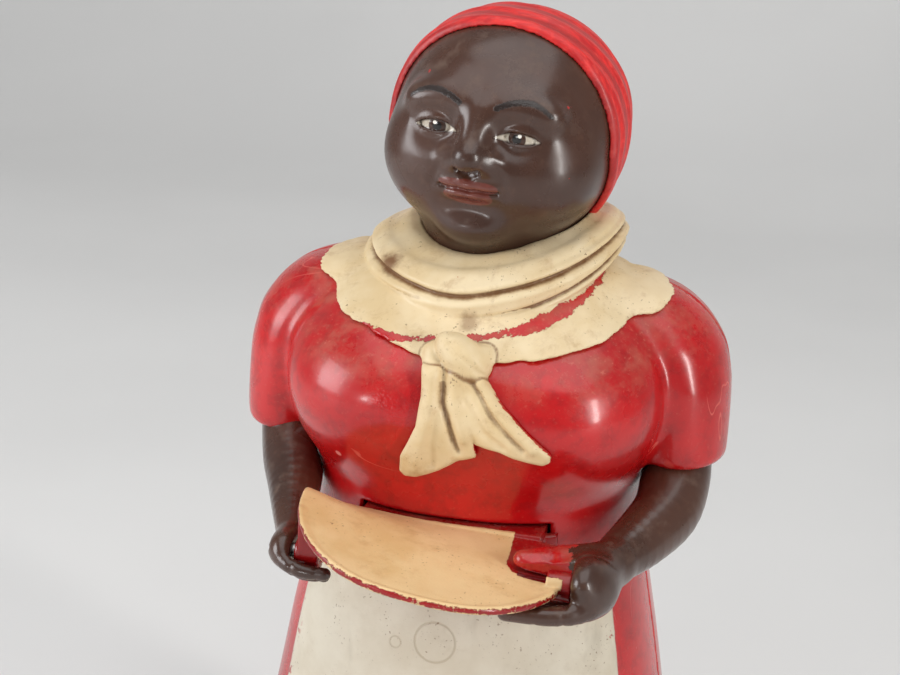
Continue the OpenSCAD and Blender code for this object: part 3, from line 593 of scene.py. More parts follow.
# ------------------------------------------------------------------ tray, bow
def tray_fn(x, y, z):
    ax = np.abs(x)
    yc = y + 24.0
    b = np.where(yc < 0, 29.6, 6.0)
    hw = np.where(x < 0, 21.7, 20.8)
    q = (ax / hw + 1e-5) ** 2.5 + (np.abs(yc) / b + 1e-5) ** 2.5
    L = np.sqrt(x * x + yc * yc) + 1e-4
    plan = L - L / q ** 0.4
    # rear edge cut back along the waist ellipse
    rw = np.sqrt((x / 27.0) ** 2 + (y / 25.6) ** 2) + 1e-5
    Lw = np.sqrt(x * x + y * y) + 1e-4
    ring = Lw - Lw / rw
    zs = z + 0.14 * x * sstep((-y - 23.0) / 9) - 0.006 * np.maximum(-x - 2, 0) ** 2 * sstep((-y - 20.0) / 9)
    top = 90.0 + 0.42 * sstep((plan + 1.9) / 1.5) * sstep((-y - 36.4) / 2.4) - 0.14 * (1 - sstep((plan + 7) / 5))
    lowz = 88.0 + 1.15 * sstep((plan + 4.5) / 4.5)
    plate = smax(smax(plan, zs - top, 0.7), lowz - zs, 0.7)
    plate = smax(plate, -ring, 0.35)
    plate = smax(plate, y + 24.9 + np.where(x > 0, 0.0045, -0.0075) * x * x, 0.5)
    ton = smax(boxd(ax, y, z, (-14.2, -26, 88), (14.2, -19.6, 90)), -1e3 + 0 * x, 0.1)
    d = smin(plate, ton - 0.0, 0.3)
    ch = poly2(y, z, [(-20.6, 88), (-17.2, 85.4), (-12.6, 87), (-12.6, 90), (-20.6, 90)])
    ch = np.maximum(np.minimum(ch, np.sqrt((y + 15.2) ** 2 + (z - 87) ** 2) - 2.6), np.abs(ax - 13.45) - 0.75)
    ch = np.maximum(ch, z - 90)
    lug = np.maximum(np.minimum(np.sqrt((y + 36) ** 2 + (z - 87) ** 2) - 2.2,
                                np.maximum(boxd(ax, y, z, (17, -38.2, 87), (20.2, -33.8, 93)), zs - 89.2)), np.abs(ax - 18.85) - 1.85)
    d = smin(np.minimum(d, ch), lug, 0.3)
    r1 = np.sqrt((x / 28) ** 2 + (y / 26.8) ** 2) + 1e-5
    r2 = np.sqrt((x / 26.7) ** 2 + (y / 25.5) ** 2) + 1e-5
    sh = np.maximum(np.maximum(Lw - Lw / r1, -(Lw - Lw / r2)), np.maximum(ax - 15.95, y + 4))
    sh = np.maximum(sh, np.abs(z - 85) - 4)
    d = np.minimum(d, sh)
    d = np.maximum(d, -cyl(x, y, z, "x", (-36, 87), 1.02, -30, 30))
    return np.maximum(d, -cyl(x, y, z, "x", (-15.2, 87), 1.05, -30, 30))

def bow_fn(x, y, z):
    ax = np.abs(x)
    lo = ell(*rot(ax, y, z, (7.2, 31.7, 92.0), "y", -6), (7.2, 31.7, 92.0), (5.5, 1.35, 3.95))
    fx = path2(ax, z, [(2.0, 92.0), (6.0, 93.2), (10.4, 94.6)])
    fy = path2(ax, z, [(2.0, 92.4), (6.0, 91.1), (9.6, 90.0)])
    lo = lo + 0.4 * gs(fx, 0.7) * (y > 31.6) + 0.35 * gs(fy, 0.7) * (y > 31.6)
    lo = smax(lo, 30.36 - y, 0.25)
    k = ell(x, y, z, (0, 31.75, 92.0), (2.9, 1.45, 2.9))
    k = k + 0.25 * gs(ax - 1.9, 0.35) * (y > 31.7)
    tl = smax(poly2(ax, z, [(0.2, 92), (2.6, 92), (5.4, 88.7), (2.6, 88.65)]), np.abs(y - 31.0) - 0.62, 0.3)
    d = smin(smin(lo, k, 0.6), tl, 0.5)
    d = smax(d, 30.36 - y, 0.2)
    return np.maximum(d, -cyl(x, y, z, "y", (0, 92.0), 1.2, 28, 36))

# ------------------------------------------------------------------ materials
def lin(r, g, b):
    f = lambda c: (c / 255 / 12.92) if c / 255 <= 0.04045 else ((c / 255 + 0.055) / 1.055) ** 2.4
    return (f(r), f(g), f(b), 1.0)

class Mat:
    """A small helper that adds shader nodes and links them."""
    def __init__(self, name, scale=1000.0):
        self.m = bpy.data.materials.new(name); self.m.use_nodes = True
        self.t = self.m.node_tree; self.t.nodes.clear()
        self.out = self.t.nodes.new("ShaderNodeOutputMaterial")
        self.p = self.t.nodes.new("ShaderNodeBsdfPrincipled")
        self.t.links.new(self.p.outputs[0], self.out.inputs[0])
        tc = self.t.nodes.new("ShaderNodeTexCoord")
        vm = self.t.nodes.new("ShaderNodeVectorMath"); vm.operation = "SCALE"
        vm.inputs["Scale"].default_value = scale
        self.t.links.new(tc.outputs["Object"], vm.inputs[0])
        self.co = vm.outputs[0]
        geo = self.t.nodes.new("ShaderNodeNewGeometry")
        self.nz = self.split(geo.outputs["Normal"])[2]
        self.nrm = geo.outputs["Normal"]

    def _in(self, node, key, v):
        s = node.inputs[key]
        if isinstance(v, bpy.types.NodeSocket): self.t.links.new(v, s)
        elif v is not None: s.default_value = v

    def split(self, v):
        n = self.t.nodes.new("ShaderNodeSeparateXYZ"); self._in(n, 0, v); return n.outputs

    def attr(self, name):
        n = self.t.nodes.new("ShaderNodeAttribute"); n.attribute_name = name; return n.outputs["Fac"]

    def math(self, op, a, b=None, c=None, clamp=False):
        n = self.t.nodes.new("ShaderNodeMath"); n.operation = op; n.use_clamp = clamp
        self._in(n, 0, a)
        if b is not None: self._in(n, 1, b)
        if c is not None: self._in(n, 2, c)
        return n.outputs[0]

    def stretch(self, v, sx, sy, sz):
        n = self.t.nodes.new("ShaderNodeVectorMath"); n.operation = "MULTIPLY"
        self._in(n, 0, v); n.inputs[1].default_value = (sx, sy, sz); return n.outputs[0]

    def dist(self, point):
        n = self.t.nodes.new("ShaderNodeVectorMath"); n.operation = "DISTANCE"
        self._in(n, 0, self.co); n.inputs[1].default_value = point; return n.outputs["Value"]

    def noise(self, wl, detail=3, rough=0.55, dist=0.0, v=None, seed=0.0):
        n = self.t.nodes.new("ShaderNodeTexNoise"); n.noise_dimensions = "4D" if seed else "3D"
        self._in(n, "Vector", v or self.co); n.inputs["Scale"].default_value = 1.0 / wl
        n.inputs["Detail"].default_value = detail; n.inputs["Roughness"].default_value = rough
        n.inputs["Distortion"].default_value = dist
        if seed: n.inputs["W"].default_value = seed
        return n.outputs["Fac"]

    def voro(self, wl, feature="F1", v=None, rand=1.0):
        n = self.t.nodes.new("ShaderNodeTexVoronoi"); n.feature = feature
        self._in(n, "Vector", v or self.co); n.inputs["Scale"].default_value = 1.0 / wl
        n.inputs["Randomness"].default_value = rand
        return n.outputs["Distance"]

    def step(self, v, lo, hi, a=0.0, b=1.0):
        n = self.t.nodes.new("ShaderNodeMapRange"); n.interpolation_type = "SMOOTHSTEP"; n.clamp = True
        self._in(n, "Value", v); n.inputs["From Min"].default_value = lo; n.inputs["From Max"].default_value = hi
        n.inputs["To Min"].default_value = a; n.inputs["To Max"].default_value = b
        return n.outputs[0]

    def lerp(self, f, a, b):
        n = self.t.nodes.new("ShaderNodeMix"); n.data_type = "FLOAT"
        self._in(n, 0, f); self._in(n, 2, a); self._in(n, 3, b); return n.outputs[0]

    def mix(self, f, a, b, mode="MIX"):
        n = self.t.nodes.new("ShaderNodeMix"); n.data_type = "RGBA"; n.blend_type = mode
        self._in(n, 0, f); self._in(n, 6, a); self._in(n, 7, b); return n.outputs[2]

    def mul(self, a, b): return self.math("MULTIPLY", a, b)
    def add(self, a, b): return self.math("ADD", a, b)
    def sub(self, a, b): return self.math("SUBTRACT", a, b)
    def inv(self, a): return self.math("SUBTRACT", 1.0, a)

    def bump(self, h, dist_mm, strength=1.0, normal=None):
        n = self.t.nodes.new("ShaderNodeBump"); n.inputs["Distance"].default_value = dist_mm / 1000.0
        n.inputs["Strength"].default_value = strength; self._in(n, "Height", h)
        if normal is not None: self._in(n, "Normal", normal)
        return n.outputs[0]

    def set(self, **kw):
        names = dict(color="Base Color", rough="Roughness", metal="Metallic", normal="Normal", coat="Coat Weight",
                     coat_rough="Coat Roughness", ior="IOR", spec="Specular IOR Level", sss="Subsurface Weight",
                     sheen="Sheen Weight", sss_scale="Subsurface Scale")
        for k, v in kw.items(): self._in(self.p, names[k], v)
        return self.m

def scratches(m, wl=9.0, ang=(0.15, 1.0, 0.25)):
    # thin pale hairlines
    a = m.noise(wl, 2, 0.5, 0.6, v=m.stretch(m.co, *ang), seed=3.3)
    l = m.math("ABSOLUTE", m.sub(a, 0.5))
    gate = m.step(m.noise(17.0, 2, 0.5, seed=8.1), 0.52, 0.64)
    return m.mul(m.step(l, 0.004, 0.0), gate)

def red_layer(m):
    # moulded red plastic: colour, roughness, height
    big = m.noise(26, 3, 0.55)
    c = m.mix(m.step(big, 0.3, 0.7), lin(166, 8, 13), lin(198, 16, 20))
    mott = m.noise(2.2, 5, 0.62, seed=2.0)
    c = m.mix(m.mul(m.step(mott, 0.44, 0.68), 0.5), c, lin(138, 12, 15))
    up = m.step(m.nz, 0.1, 0.85)
    dustn = m.step(m.noise(5.5, 6, 0.7, seed=5.0), 0.40, 0.66)
    dust = m.mul(m.mul(up, dustn), 0.62)
    c = m.mix(dust, c, lin(172, 92, 72))
    fine = m.step(m.noise(0.55, 3, 0.6, seed=6.0), 0.56, 0.72)
    c = m.mix(m.mul(fine, m.lerp(up, 0.10, 0.30)), c, lin(214, 128, 108))
    sc = scratches(m)
    c = m.mix(m.mul(sc, 0.5), c, lin(232, 120, 104))
    r = m.lerp(m.step(m.noise(14, 4, 0.6, seed=4.0), 0.35, 0.7), 0.20, 0.34)
    r = m.add(r, m.mul(dust, 0.45)); r = m.add(r, m.mul(sc, 0.25))
    h = m.add(m.mul(m.noise(6.0, 2, 0.5, seed=9.0), 0.06), m.mul(m.noise(0.9, 3, 0.55, seed=10.0), 0.012))
    return c, r, h

def cream_layer(m, base, deep, grime, amount=0.5, seed=20.0):
    big = m.noise(11, 4, 0.6, seed=seed)
    c = m.mix(m.step(big, 0.35, 0.68), base, deep)
    g = m.step(m.noise(4.2, 7, 0.72, 0.3, seed=seed + 1), 0.50, 0.72)
    c = m.mix(m.mul(g, amount), c, grime)
    sp = m.step(m.noise(0.42, 2, 0.5, seed=seed + 2), 0.645, 0.70)
    spg = m.step(m.noise(6.0, 3, 0.6, seed=seed + 3), 0.45, 0.62)
    c = m.mix(m.mul(m.mul(sp, spg), 0.75), c, lin(104, 70, 40))
    r = m.lerp(m.step(m.noise(3.0, 4, 0.6, seed=seed + 4), 0.35, 0.7), 0.42, 0.62)
    h = m.add(m.mul(m.noise(2.6, 4, 0.55, seed=seed + 5), 0.05), m.mul(m.noise(0.35, 3, 0.6, seed=seed + 6), 0.02))
    return c, r, h

def edge_noise(m, v, big=1.0, small=0.3, wl=2.6, seed=30.0):
    n = m.mul(m.sub(m.noise(wl, 5, 0.65, seed=seed), 0.5), big * 2)
    k = m.mul(m.sub(m.noise(wl * 0.22, 3, 0.6, seed=seed + 1), 0.5), small * 2)
    return m.add(v, m.add(n, k))

def mat_dress():
    m = Mat("dress_paint")
    c, r, h = red_layer(m)
    ap = edge_noise(m, m.attr("apron"), 0.16, 0.10, 3.0, 31.0)
    ti = edge_noise(m, m.attr("tie"), 0.25, 0.15, 2.2, 33.0)
    pm = m.math("MAXIMUM", m.step(ap, -0.06, 0.06), m.step(ti, -0.06, 0.06))
    c2, r2, h2 = cream_layer(m, lin(212, 203, 184), lin(200, 189, 168), lin(168, 150, 124), 0.22, 22.0)
    # greyer streaks down the apron: painted shade for a soft vertical shade band, with soft smears of dirt
    shade_band_and_smears = m.step(m.noise(7.5, 4, 0.6, 0.4, v=m.stretch(m.co, 1, 1, 0.35), seed=41.0), 0.56, 0.74)
    c2 = m.mix(m.mul(shade_band_and_smears, 0.35), c2, lin(150, 138, 118))
    # chips of bare red in the paint, few and sharp
    chip = m.step(m.noise(3.1, 5, 0.68, seed=44.0), 0.715, 0.73)
    edgechip = m.mul(m.step(m.noise(1.8, 4, 0.6, seed=46.0), 0.60, 0.62), m.step(ap, 1.6, 0.2))
    pm = m.mul(pm, m.inv(m.math("MAXIMUM", chip, edgechip)))
    inside = m.attr("inside")
    pm = m.mul(pm, m.inv(inside))
    # round moulding marks in the skirt
    d = m.dist((-1.1, -26.6, 70.6))
    ring = m.step(m.math("ABSOLUTE", m.sub(d, 3.2)), 0.28, 0.05)
    d2 = m.dist((-7.4, -26.2, 69.6))
    ring2 = m.step(m.math("ABSOLUTE", m.sub(d2, 0.9)), 0.22, 0.04)
    rings = m.math("MAXIMUM", ring, m.mul(ring2, 0.8))
    c2 = m.mix(m.mul(rings, 0.38), c2, lin(150, 130, 100))
    # a dappled patch and a small chip on the bodice
    dp = m.step(m.dist((-8.3, -29.8, 109.8)), 4.6, 1.6)
    dap = m.mul(dp, m.noise(0.75, 2, 0.5, seed=50.0))
    cd = m.step(m.add(m.dist((-18.0, -24.8, 98.8)), m.mul(m.noise(0.8, 3, 0.6, seed=51.0), 0.7)), 0.95, 0.85)
    c = m.mix(m.mul(cd, 0.8), c, lin(238, 150, 140))
    col = m.mix(pm, c, c2)
    rough = m.lerp(pm, r, r2)
    hh = m.add(m.lerp(pm, h, m.add(h2, 0.10)), m.mul(rings, -0.05))
    hh = m.add(hh, m.mul(dap, 0.16))
    n = m.bump(hh, 1.0, 1.0)
    return m.set(color=col, rough=rough, normal=n, ior=1.5, coat=0.25, coat_rough=0.12)

def mat_neck():
    m = Mat("neckcloth_paint")
    c, r, h = cream_layer(m, lin(228, 208, 170), lin(214, 188, 142), lin(160, 118, 70), 0.42, 60.0)
    fold = m.attr("fold")                      # 1 in creases
    gr = m.step(m.add(m.mul(fold, 1.0), m.mul(m.sub(m.noise(2.0, 5, 0.65, seed=61.5), 0.5), 0.9)), 0.30, 0.95)
    c = m.mix(m.mul(gr, 0.95), c, lin(118, 76, 36))
    stain = m.step(m.add(m.dist((0.6, -22.3, 121.0)), m.mul(m.noise(0.9, 4, 0.6, seed=62.0), 1.6)), 2.9, 1.6)
    c = m.mix(m.mul(stain, 0.55), c, lin(120, 74, 30))
    st2 = m.step(m.add(m.dist((-14.0, -14.6, 127.2)), m.mul(m.noise(1.1, 5, 0.65, seed=63.0), 3.0)), 4.6, 2.2)
    c = m.mix(m.mul(st2, 0.92), c, lin(112, 68, 28))
    red, rr, rh = red_layer(m)
    # paint gone along the crease under the band, along the hem and in a few spots
    ch = edge_noise(m, m.attr("chip"), 0.75, 0.35, 2.0, 64.0)
    spot = m.step(m.noise(2.3, 5, 0.68, seed=66.0), 0.74, 0.75)
    bare = m.math("MAXIMUM", m.step(ch, -0.04, 0.04), spot)
    col = m.mix(bare, c, red)
    rough = m.lerp(bare, r, rr)
    hh = m.lerp(bare, m.add(h, 0.12), rh)
    return m.set(color=col, rough=rough, normal=m.bump(hh, 1.0, 1.0), ior=1.5, coat=0.1, coat_rough=0.2)

def mat_tray():
    m = Mat("tray_paint")
    c, r, h = cream_layer(m, lin(232, 198, 146), lin(218, 180, 124), lin(176, 128, 74), 0.35, 80.0)
    red, rr, rh = red_layer(m)
    # bare red plastic of the tray darkened: painted shade for its dark underside and rim
    dark = m.mix(0.45, red, lin(96, 12, 14))
    top = edge_noise(m, m.attr("painted"), 0.42, 0.24, 1.6, 84.0)
    pm = m.step(top, -0.05, 0.05)
    spot = m.step(m.noise(1.5, 5, 0.7, seed=86.0), 0.735, 0.745)
    pm = m.mul(pm, m.inv(spot))
    col = m.mix(pm, dark, c)
    return m.set(color=col, rough=m.lerp(pm, rr, r), normal=m.bump(m.lerp(pm, rh, m.add(h, 0.12)), 1.0, 1.0),
                 ior=1.5, coat=0.12, coat_rough=0.15)

def mat_scarf():
    m = Mat("scarf_paint")
    tc = m.attr("pleat")
    wave = m.noise(1.0, 3, 0.6, seed=91.0, v=m.stretch(m.co, 0.35, 1.4, 0.5))
    c = m.mix(m.step(wave, 0.35, 0.68), lin(186, 18, 22), lin(222, 38, 34))
    st = m.step(m.noise(0.5, 4, 0.65, seed=92.0, v=m.stretch(m.co, 0.18, 1.3, 0.35)), 0.5, 0.72)
    c = m.mix(m.mul(st, 0.5), c, lin(240, 86, 74))
    # pleat troughs painted darker red: painted shade in the folds
    c = m.mix(m.mul(m.step(tc, 0.45, 0.0), 0.45), c, lin(120, 10, 14))
    rub = m.step(m.noise(1.6, 5, 0.68, seed=94.0), 0.66, 0.70)
    c = m.mix(m.mul(rub, 0.55), c, lin(236, 118, 100))
    r = m.lerp(wave, 0.36, 0.56)
    h = m.add(m.mul(m.noise(0.5, 4, 0.65, seed=92.0, v=m.stretch(m.co, 0.18, 1.3, 0.35)), 0.09), m.mul(m.noise(2.5, 3, 0.5, seed=95.0), 0.05))
    return m.set(color=c, rough=r, normal=m.bump(h, 1.0, 1.0), ior=1.5, coat=0.15, coat_rough=0.2)

def skin_layer(m):
    big = m.noise(15, 3, 0.55, seed=100.0)
    c = m.mix(m.step(big, 0.32, 0.7), lin(58, 35, 25), lin(74, 45, 32))
    c = m.mix(m.mul(m.step(m.noise(1.7, 5, 0.65, seed=101.0), 0.52, 0.74), 0.35), c, lin(92, 62, 46))
    dust = m.mul(m.step(m.nz, -0.1, 0.8), m.step(m.noise(3.2, 6, 0.7, seed=102.0), 0.50, 0.72))
    c = m.mix(m.mul(dust, 0.30), c, lin(128, 106, 90))
    r = m.add(m.lerp(m.step(m.noise(8, 4, 0.6, seed=103.0), 0.35, 0.7), 0.24, 0.36), m.mul(dust, 0.28))
    h = m.add(m.mul(m.noise(4.0, 2, 0.5, seed=104.0), 0.05), m.mul(m.noise(0.5, 3, 0.6, seed=105.0), 0.008))
    return c, r, h

def mat_skin_face():
    m = Mat("skin_paint_face")
    c, r, h = skin_layer(m)
    red, rr, rh = red_layer(m)
    # eyes
    hx, hy, hz = m.attr("hx"), m.attr("hy"), m.attr("hz")
    ex = m.sub(hx, 6.2); ez = m.sub(hz, EYE_Z - 0.15)
    rr2 = m.math("SQRT", m.add(m.mul(ex, ex), m.mul(ez, ez)))
    eye = m.step(m.attr("eye"), -0.05, 0.08)
    white = m.mix(m.step(m.noise(0.6, 3, 0.6, seed=110.0), 0.4, 0.8), lin(196, 186, 170), lin(170, 156, 136))
    iris = m.mix(m.step(rr2, 0.80, 0.60), lin(58, 33, 19), lin(12, 8, 7))
    ring = m.step(rr2, 1.42, 1.26)
    ec = m.mix(ring, white, iris)
    glint = m.math("SQRT", m.add(m.math("POWER", m.sub(hx, 6.6), 2.0), m.math("POWER", m.sub(hz, EYE_Z + 0.35), 2.0)))
    ec = m.mix(m.step(glint, 0.34, 0.24), ec, lin(245, 240, 230))
    ec = m.mix(m.step(m.attr("eye"), 0.42, 0.05), ec, lin(52, 30, 22))
    # natural lip colour and brows
    lip = m.step(edge_noise(m, m.attr("lip"), 0.08, 0.05, 0.9, 112.0), -0.10, 0.12)
    lipc = m.mix(m.step(m.noise(1.2, 4, 0.6, seed=113.0), 0.4, 0.7), lin(112, 56, 46), lin(98, 46, 38))
    brow = m.step(edge_noise(m, m.attr("brow"), 0.22, 0.22, 0.7, 114.0), -0.05, 0.2)
    c = m.mix(m.mul(lip, 0.9), c, lipc)
    c = m.mix(m.mul(brow, 0.85), c, lin(24, 16, 13))
    seam = m.step(m.attr("seam"), 0.5, 0.0)
    # old paint flaked to the red plastic in a few spots
    cb = m.add(m.attr("flake"), m.mul(m.sub(m.noise(0.9, 4, 0.65, seed=116.0), 0.5), 1.3))
    bare = m.step(cb, -0.04, 0.04)
    c = m.mix(bare, c, lin(168, 40, 34))
    c = m.mix(eye, c, ec)
    r = m.lerp(eye, r, 0.12); r = m.lerp(lip, r, 0.24)
    r = m.lerp(bare, r, 0.45)
    hh = m.sub(h, m.mul(bare, 0.08))
    hh = m.add(hh, m.mul(brow, m.mul(m.noise(0.28, 2, 0.5, seed=118.0, v=m.stretch(m.co, 0.6, 1, 1)), 0.10)))
    return m.set(color=c, rough=r, normal=m.bump(hh, 1.0, 1.0), ior=1.5, coat=0.2, coat_rough=0.18)

def mat_skin_arm():
    m = Mat("skin_paint_arm")
    c, r, h = skin_layer(m)
    red, rr, rh = red_layer(m)
    w = m.add(m.attr("worn"), m.mul(m.sub(m.noise(2.4, 5, 0.7, 0.4, seed=120.0), 0.5), 3.2))
    w = m.add(w, m.mul(m.sub(m.noise(0.5, 3, 0.6, seed=121.0), 0.5), 0.6))
    spot = m.step(m.noise(2.0, 5, 0.7, seed=123.0), 0.755, 0.765)
    bare = m.math("MAXIMUM", m.step(w, -0.05, 0.05), spot)
    redd = m.mix(0.25, red, lin(110, 14, 14))
    c = m.mix(bare, c, redd)
    hh = m.lerp(bare, m.add(h, 0.10), rh)
    return m.set(color=c, rough=m.lerp(bare, r, rr), normal=m.bump(hh, 1.0, 1.0), ior=1.5, coat=0.3, coat_rough=0.12)

def mat_bow():
    m = Mat("bow_paint")
    c, r, h = cream_layer(m, lin(226, 208, 172), lin(212, 188, 146), lin(158, 120, 76), 0.45, 130.0)
    red, rr, rh = red_layer(m)
    bare = m.math("MAXIMUM", m.step(m.noise(1.9, 5, 0.7, seed=133.0), 0.68, 0.70),
                  m.step(edge_noise(m, m.attr("rub"), 0.5, 0.3, 1.4, 134.0), -0.05, 0.05))
    return m.set(color=m.mix(bare, c, red), rough=m.lerp(bare, r, rr), normal=m.bump(m.lerp(bare, m.add(h, 0.1), rh), 1.0, 1.0), ior=1.5)

def mat_metal(name, col, col2, rough=0.3, rust=0.3, lines=(1, 1, 1)):
    m = Mat(name)
    b = m.noise(0.35, 3, 0.6, seed=140.0, v=m.stretch(m.co, *lines))
    c = m.mix(m.step(b, 0.35, 0.7), lin(*col), lin(*col2))
    rs = m.step(m.noise(2.6, 6, 0.7, seed=142.0), 0.56, 0.72)
    c = m.mix(m.mul(rs, rust), c, lin(112, 62, 32))
    r = m.add(m.lerp(b, rough, rough + 0.18), m.mul(rs, 0.3 * rust))
    met = m.sub(1.0, m.mul(rs, rust))
    return m.set(color=c, rough=r, metal=met, normal=m.bump(m.add(m.mul(b, 0.03), m.mul(rs, 0.04)), 1.0, 1.0))

def mat_plain_red(name, dark=0.0):
    m = Mat(name)
    c, r, h = red_layer(m)
    if dark: c = m.mix(dark, c, lin(80, 8, 10))
    return m.set(color=c, rough=m.add(r, 0.08), normal=m.bump(h, 1.0, 1.0), ior=1.5)

def mat_black_plastic():
    m = Mat("inner_plastic_black")
    b = m.noise(9, 4, 0.6, seed=150.0)
    c = m.mix(m.step(b, 0.3, 0.7), lin(34, 33, 34), lin(52, 50, 50))
    d = m.mul(m.step(m.nz, -0.2, 0.9), m.step(m.noise(2.4, 6, 0.7, seed=151.0), 0.45, 0.7))
    c = m.mix(m.mul(d, 0.5), c, lin(120, 112, 104))
    return m.set(color=c, rough=m.add(m.lerp(b, 0.38, 0.55), m.mul(d, 0.2)), ior=1.5,
                 normal=m.bump(m.add(m.mul(m.noise(0.4, 3, 0.6, seed=152.0), 0.03), m.mul(scratches(m), -0.02)), 1.0, 1.0))

def mat_rubber():
    m = Mat("trap_rubber")
    b = m.noise(5, 5, 0.65, seed=160.0)
    c = m.mix(m.step(b, 0.3, 0.7), lin(40, 36, 34), lin(62, 56, 52))
    cr = m.step(m.voro(2.6, "DISTANCE_TO_EDGE"), 0.05, 0.0)
    c = m.mix(m.mul(cr, 0.4), c, lin(26, 22, 20))
    return m.set(color=c, rough=m.lerp(b, 0.62, 0.85), spec=0.35,
                 normal=m.bump(m.sub(m.mul(m.noise(0.6, 4, 0.6, seed=161.0), 0.06), m.mul(cr, 0.04)), 1.0, 1.0))

M_DRESS, M_NECK, M_TRAY, M_SCARF = mat_dress(), mat_neck(), mat_tray(), mat_scarf()
M_FACE, M_ARM, M_BOW = mat_skin_face(), mat_skin_arm(), mat_bow()
M_STEEL = mat_metal("steel_pin", (188, 186, 182), (150, 148, 146), 0.26, 0.35)
M_PLATE = mat_metal("steel_plate", (170, 170, 168), (132, 132, 132), 0.34, 0.45, (0.15, 1, 1))
M_SPRING = mat_metal("spring_wire", (150, 150, 152), (112, 112, 116), 0.28, 0.2)
M_REDIN, M_BLACK, M_RUBBER = mat_plain_red("red_moulded", 0.15), mat_black_plastic(), mat_rubber()

# ------------------------------------------------------------------ pieces
H = 0.55
fs = field_mesh("front_dress_shell", front_fn, (-41.5, -38.5, 1.5), (41.5, 1.5, 131), H, mat=M_DRESS, replaces=("front_shell",))
rs = field_mesh("rear_dress_shell", rear_fn, (-41.5, -1.5, 1.5), (41.5, 37.5, 131), H, mat=M_DRESS, replaces=("rear_shell",))
for ob in (fs, rs):
    v = verts_mm(ob); x, y, z = v[:, 0], v[:, 1], v[:, 2]
    put_attr(ob, "apron", np.clip(apron_field(x, y, z), -6, 6))
    put_attr(ob, "tie", np.clip(tie_field(x, y, z), -6, 6))
    put_attr(ob, "inside", sstep((-outer(x, y, z) - 0.5) / 0.4))

nk = field_mesh("neck_scarf", neck_fn, (-29, -31.5, 95.5), (29, 27.5, 136.5), 0.34, mat=M_NECK, replaces=("kerchief",))
v = verts_mm(nk); x, y, z = v[:, 0], v[:, 1], v[:, 2]
L, c, cp, zt, top, bot, u = band_parts(x, y, z)
dd = outer(x, y, z)
right = sstep((x + 3) / 10)
uc = 0.40 - 0.10 * sstep(-x / 14) - 0.04 * right
fold = np.maximum(gs(u - uc, 0.06), np.maximum(right * gs(u - (0.63 + 0.12 * cp), 0.05), 0.6 * sstep((-x - 2) / 8) * gs(u - 0.66 + 0.2 * cp, 0.05)))
fold = fold * (dd > 1.6) * sstep((1.02 - u) / 0.1)
kn = np.minimum(knot(x, y, z), 9)
fold = np.maximum(fold, 0.8 * gs(kn - 0.5, 0.35) * (z > 113.5))
tails_groove = np.maximum(0.8 * gs(path2(x, z, [(-1.4, 115.5), (-1.2, 110.8), (0.3, 106.5), (1.4, 103.4)]), 0.8),
                          0.7 * gs(path2(x, z, [(3.2, 114), (6.4, 109.5), (11.2, 105.2)]), 0.7)) * (z < 114) * (y < 0)
fold = np.maximum(fold, tails_groove)
put_attr(nk, "fold", fold)
amp = 0.30 + 0.40 * sstep((x - 6) / 4) * sstep((17 - x) / 4) + 0.25 * sstep((-x - 9) / 3) * sstep((18 + x) / 3)
under = amp - np.abs(bot - zt - 0.05) * 0.85 - 1.1 * sstep((dd - 1.9) / 1.0) - 3.0 * sstep((y + 5) / 4) - 2.0 * (np.minimum(kn, 3) < 0.4)
under = np.where(np.sqrt(x * x + y * y) < 15.5, -3, under)
hem = 0.02 - np.abs(dd - 0.35) * 1.1 - np.maximum(collar_z(x, y) + 0.3 - z, 0) * 0
tailrim = 0.12 - np.maximum(np.minimum(np.abs(poly2(x, z, TAIL_L)), np.abs(poly2(x, z, TAIL_R))), 0) * 0.9 - 1.4 * (dd > 0.9)
hem = np.where((z < 113) & (y < 0), tailrim, hem - 0.55)
hem = np.where(np.sqrt(x * x + y * y) < 16.5, -3, hem)
put_attr(nk, "chip", np.clip(np.maximum(under, hem), -3, 3))

hd = field_mesh("head_face", skin_fn, (-20, -24.5, 128), (20, 2, 166), 0.30, relax=1, mat=M_FACE, replaces=("head_front",))
v = verts_mm(hd); a, b, c = hl(v[:, 0], v[:, 1], v[:, 2])
aa = np.abs(a)
put_attr(hd, "hx", aa); put_attr(hd, "hy", b); put_attr(hd, "hz", c)
open_z = np.abs(c - (EYE_Z - 0.1) + 0.018 * (aa - 6.3) ** 2) - (0.92 - 0.060 * (aa - 6.3) ** 2)
eyem = np.minimum(-open_z, 3.55 - np.abs(aa - 6.3))
eyem = np.where(b < -12, eyem, -2)
put_attr(hd, "eye", np.clip(eyem, -2, 2))
lipu = -smin(ell(aa, b, c, (1.7, -18.2, 140.85), (3.1, 2.4, 1.15)), ell(a, b, c, (0, -18.3, 140.8), (1.6, 2.4, 1.0)), 0.8)
lipl = -ell(a, b, c, (0, -18.0, 139.05), (3.9, 2.6, 1.45))
put_attr(hd, "lip", np.clip(np.maximum(lipu, lipl), -3, 3))
brow = path2(aa, c, [(2.9, 152.6), (4.4, 153.4), (6.2, 153.9), (8.0, 153.9), (9.6, 153.3), (10.9, 152.3)])
put_attr(hd, "brow", np.where(b < -6, 0.50 - 0.035 * np.maximum(aa - 6, 0) - brow, -3))
fl = np.full(len(v), -3.0)
for q, rad in (((-9.6, 0, 155.6), 0.12), ((12.2, 0, 153.4), 0.1), ((14.2, 0, 143.6), 0.12), ((-3.0, 0, 134.6), 0.1)):
    fl = np.maximum(fl, rad - 0.8 * np.sqrt((a - q[0]) ** 2 + (c - q[2]) ** 2))
put_attr(hd, "flake", np.where(b < -4, fl, -3))
put_attr(hd, "seam", np.full(len(v), 2.0))

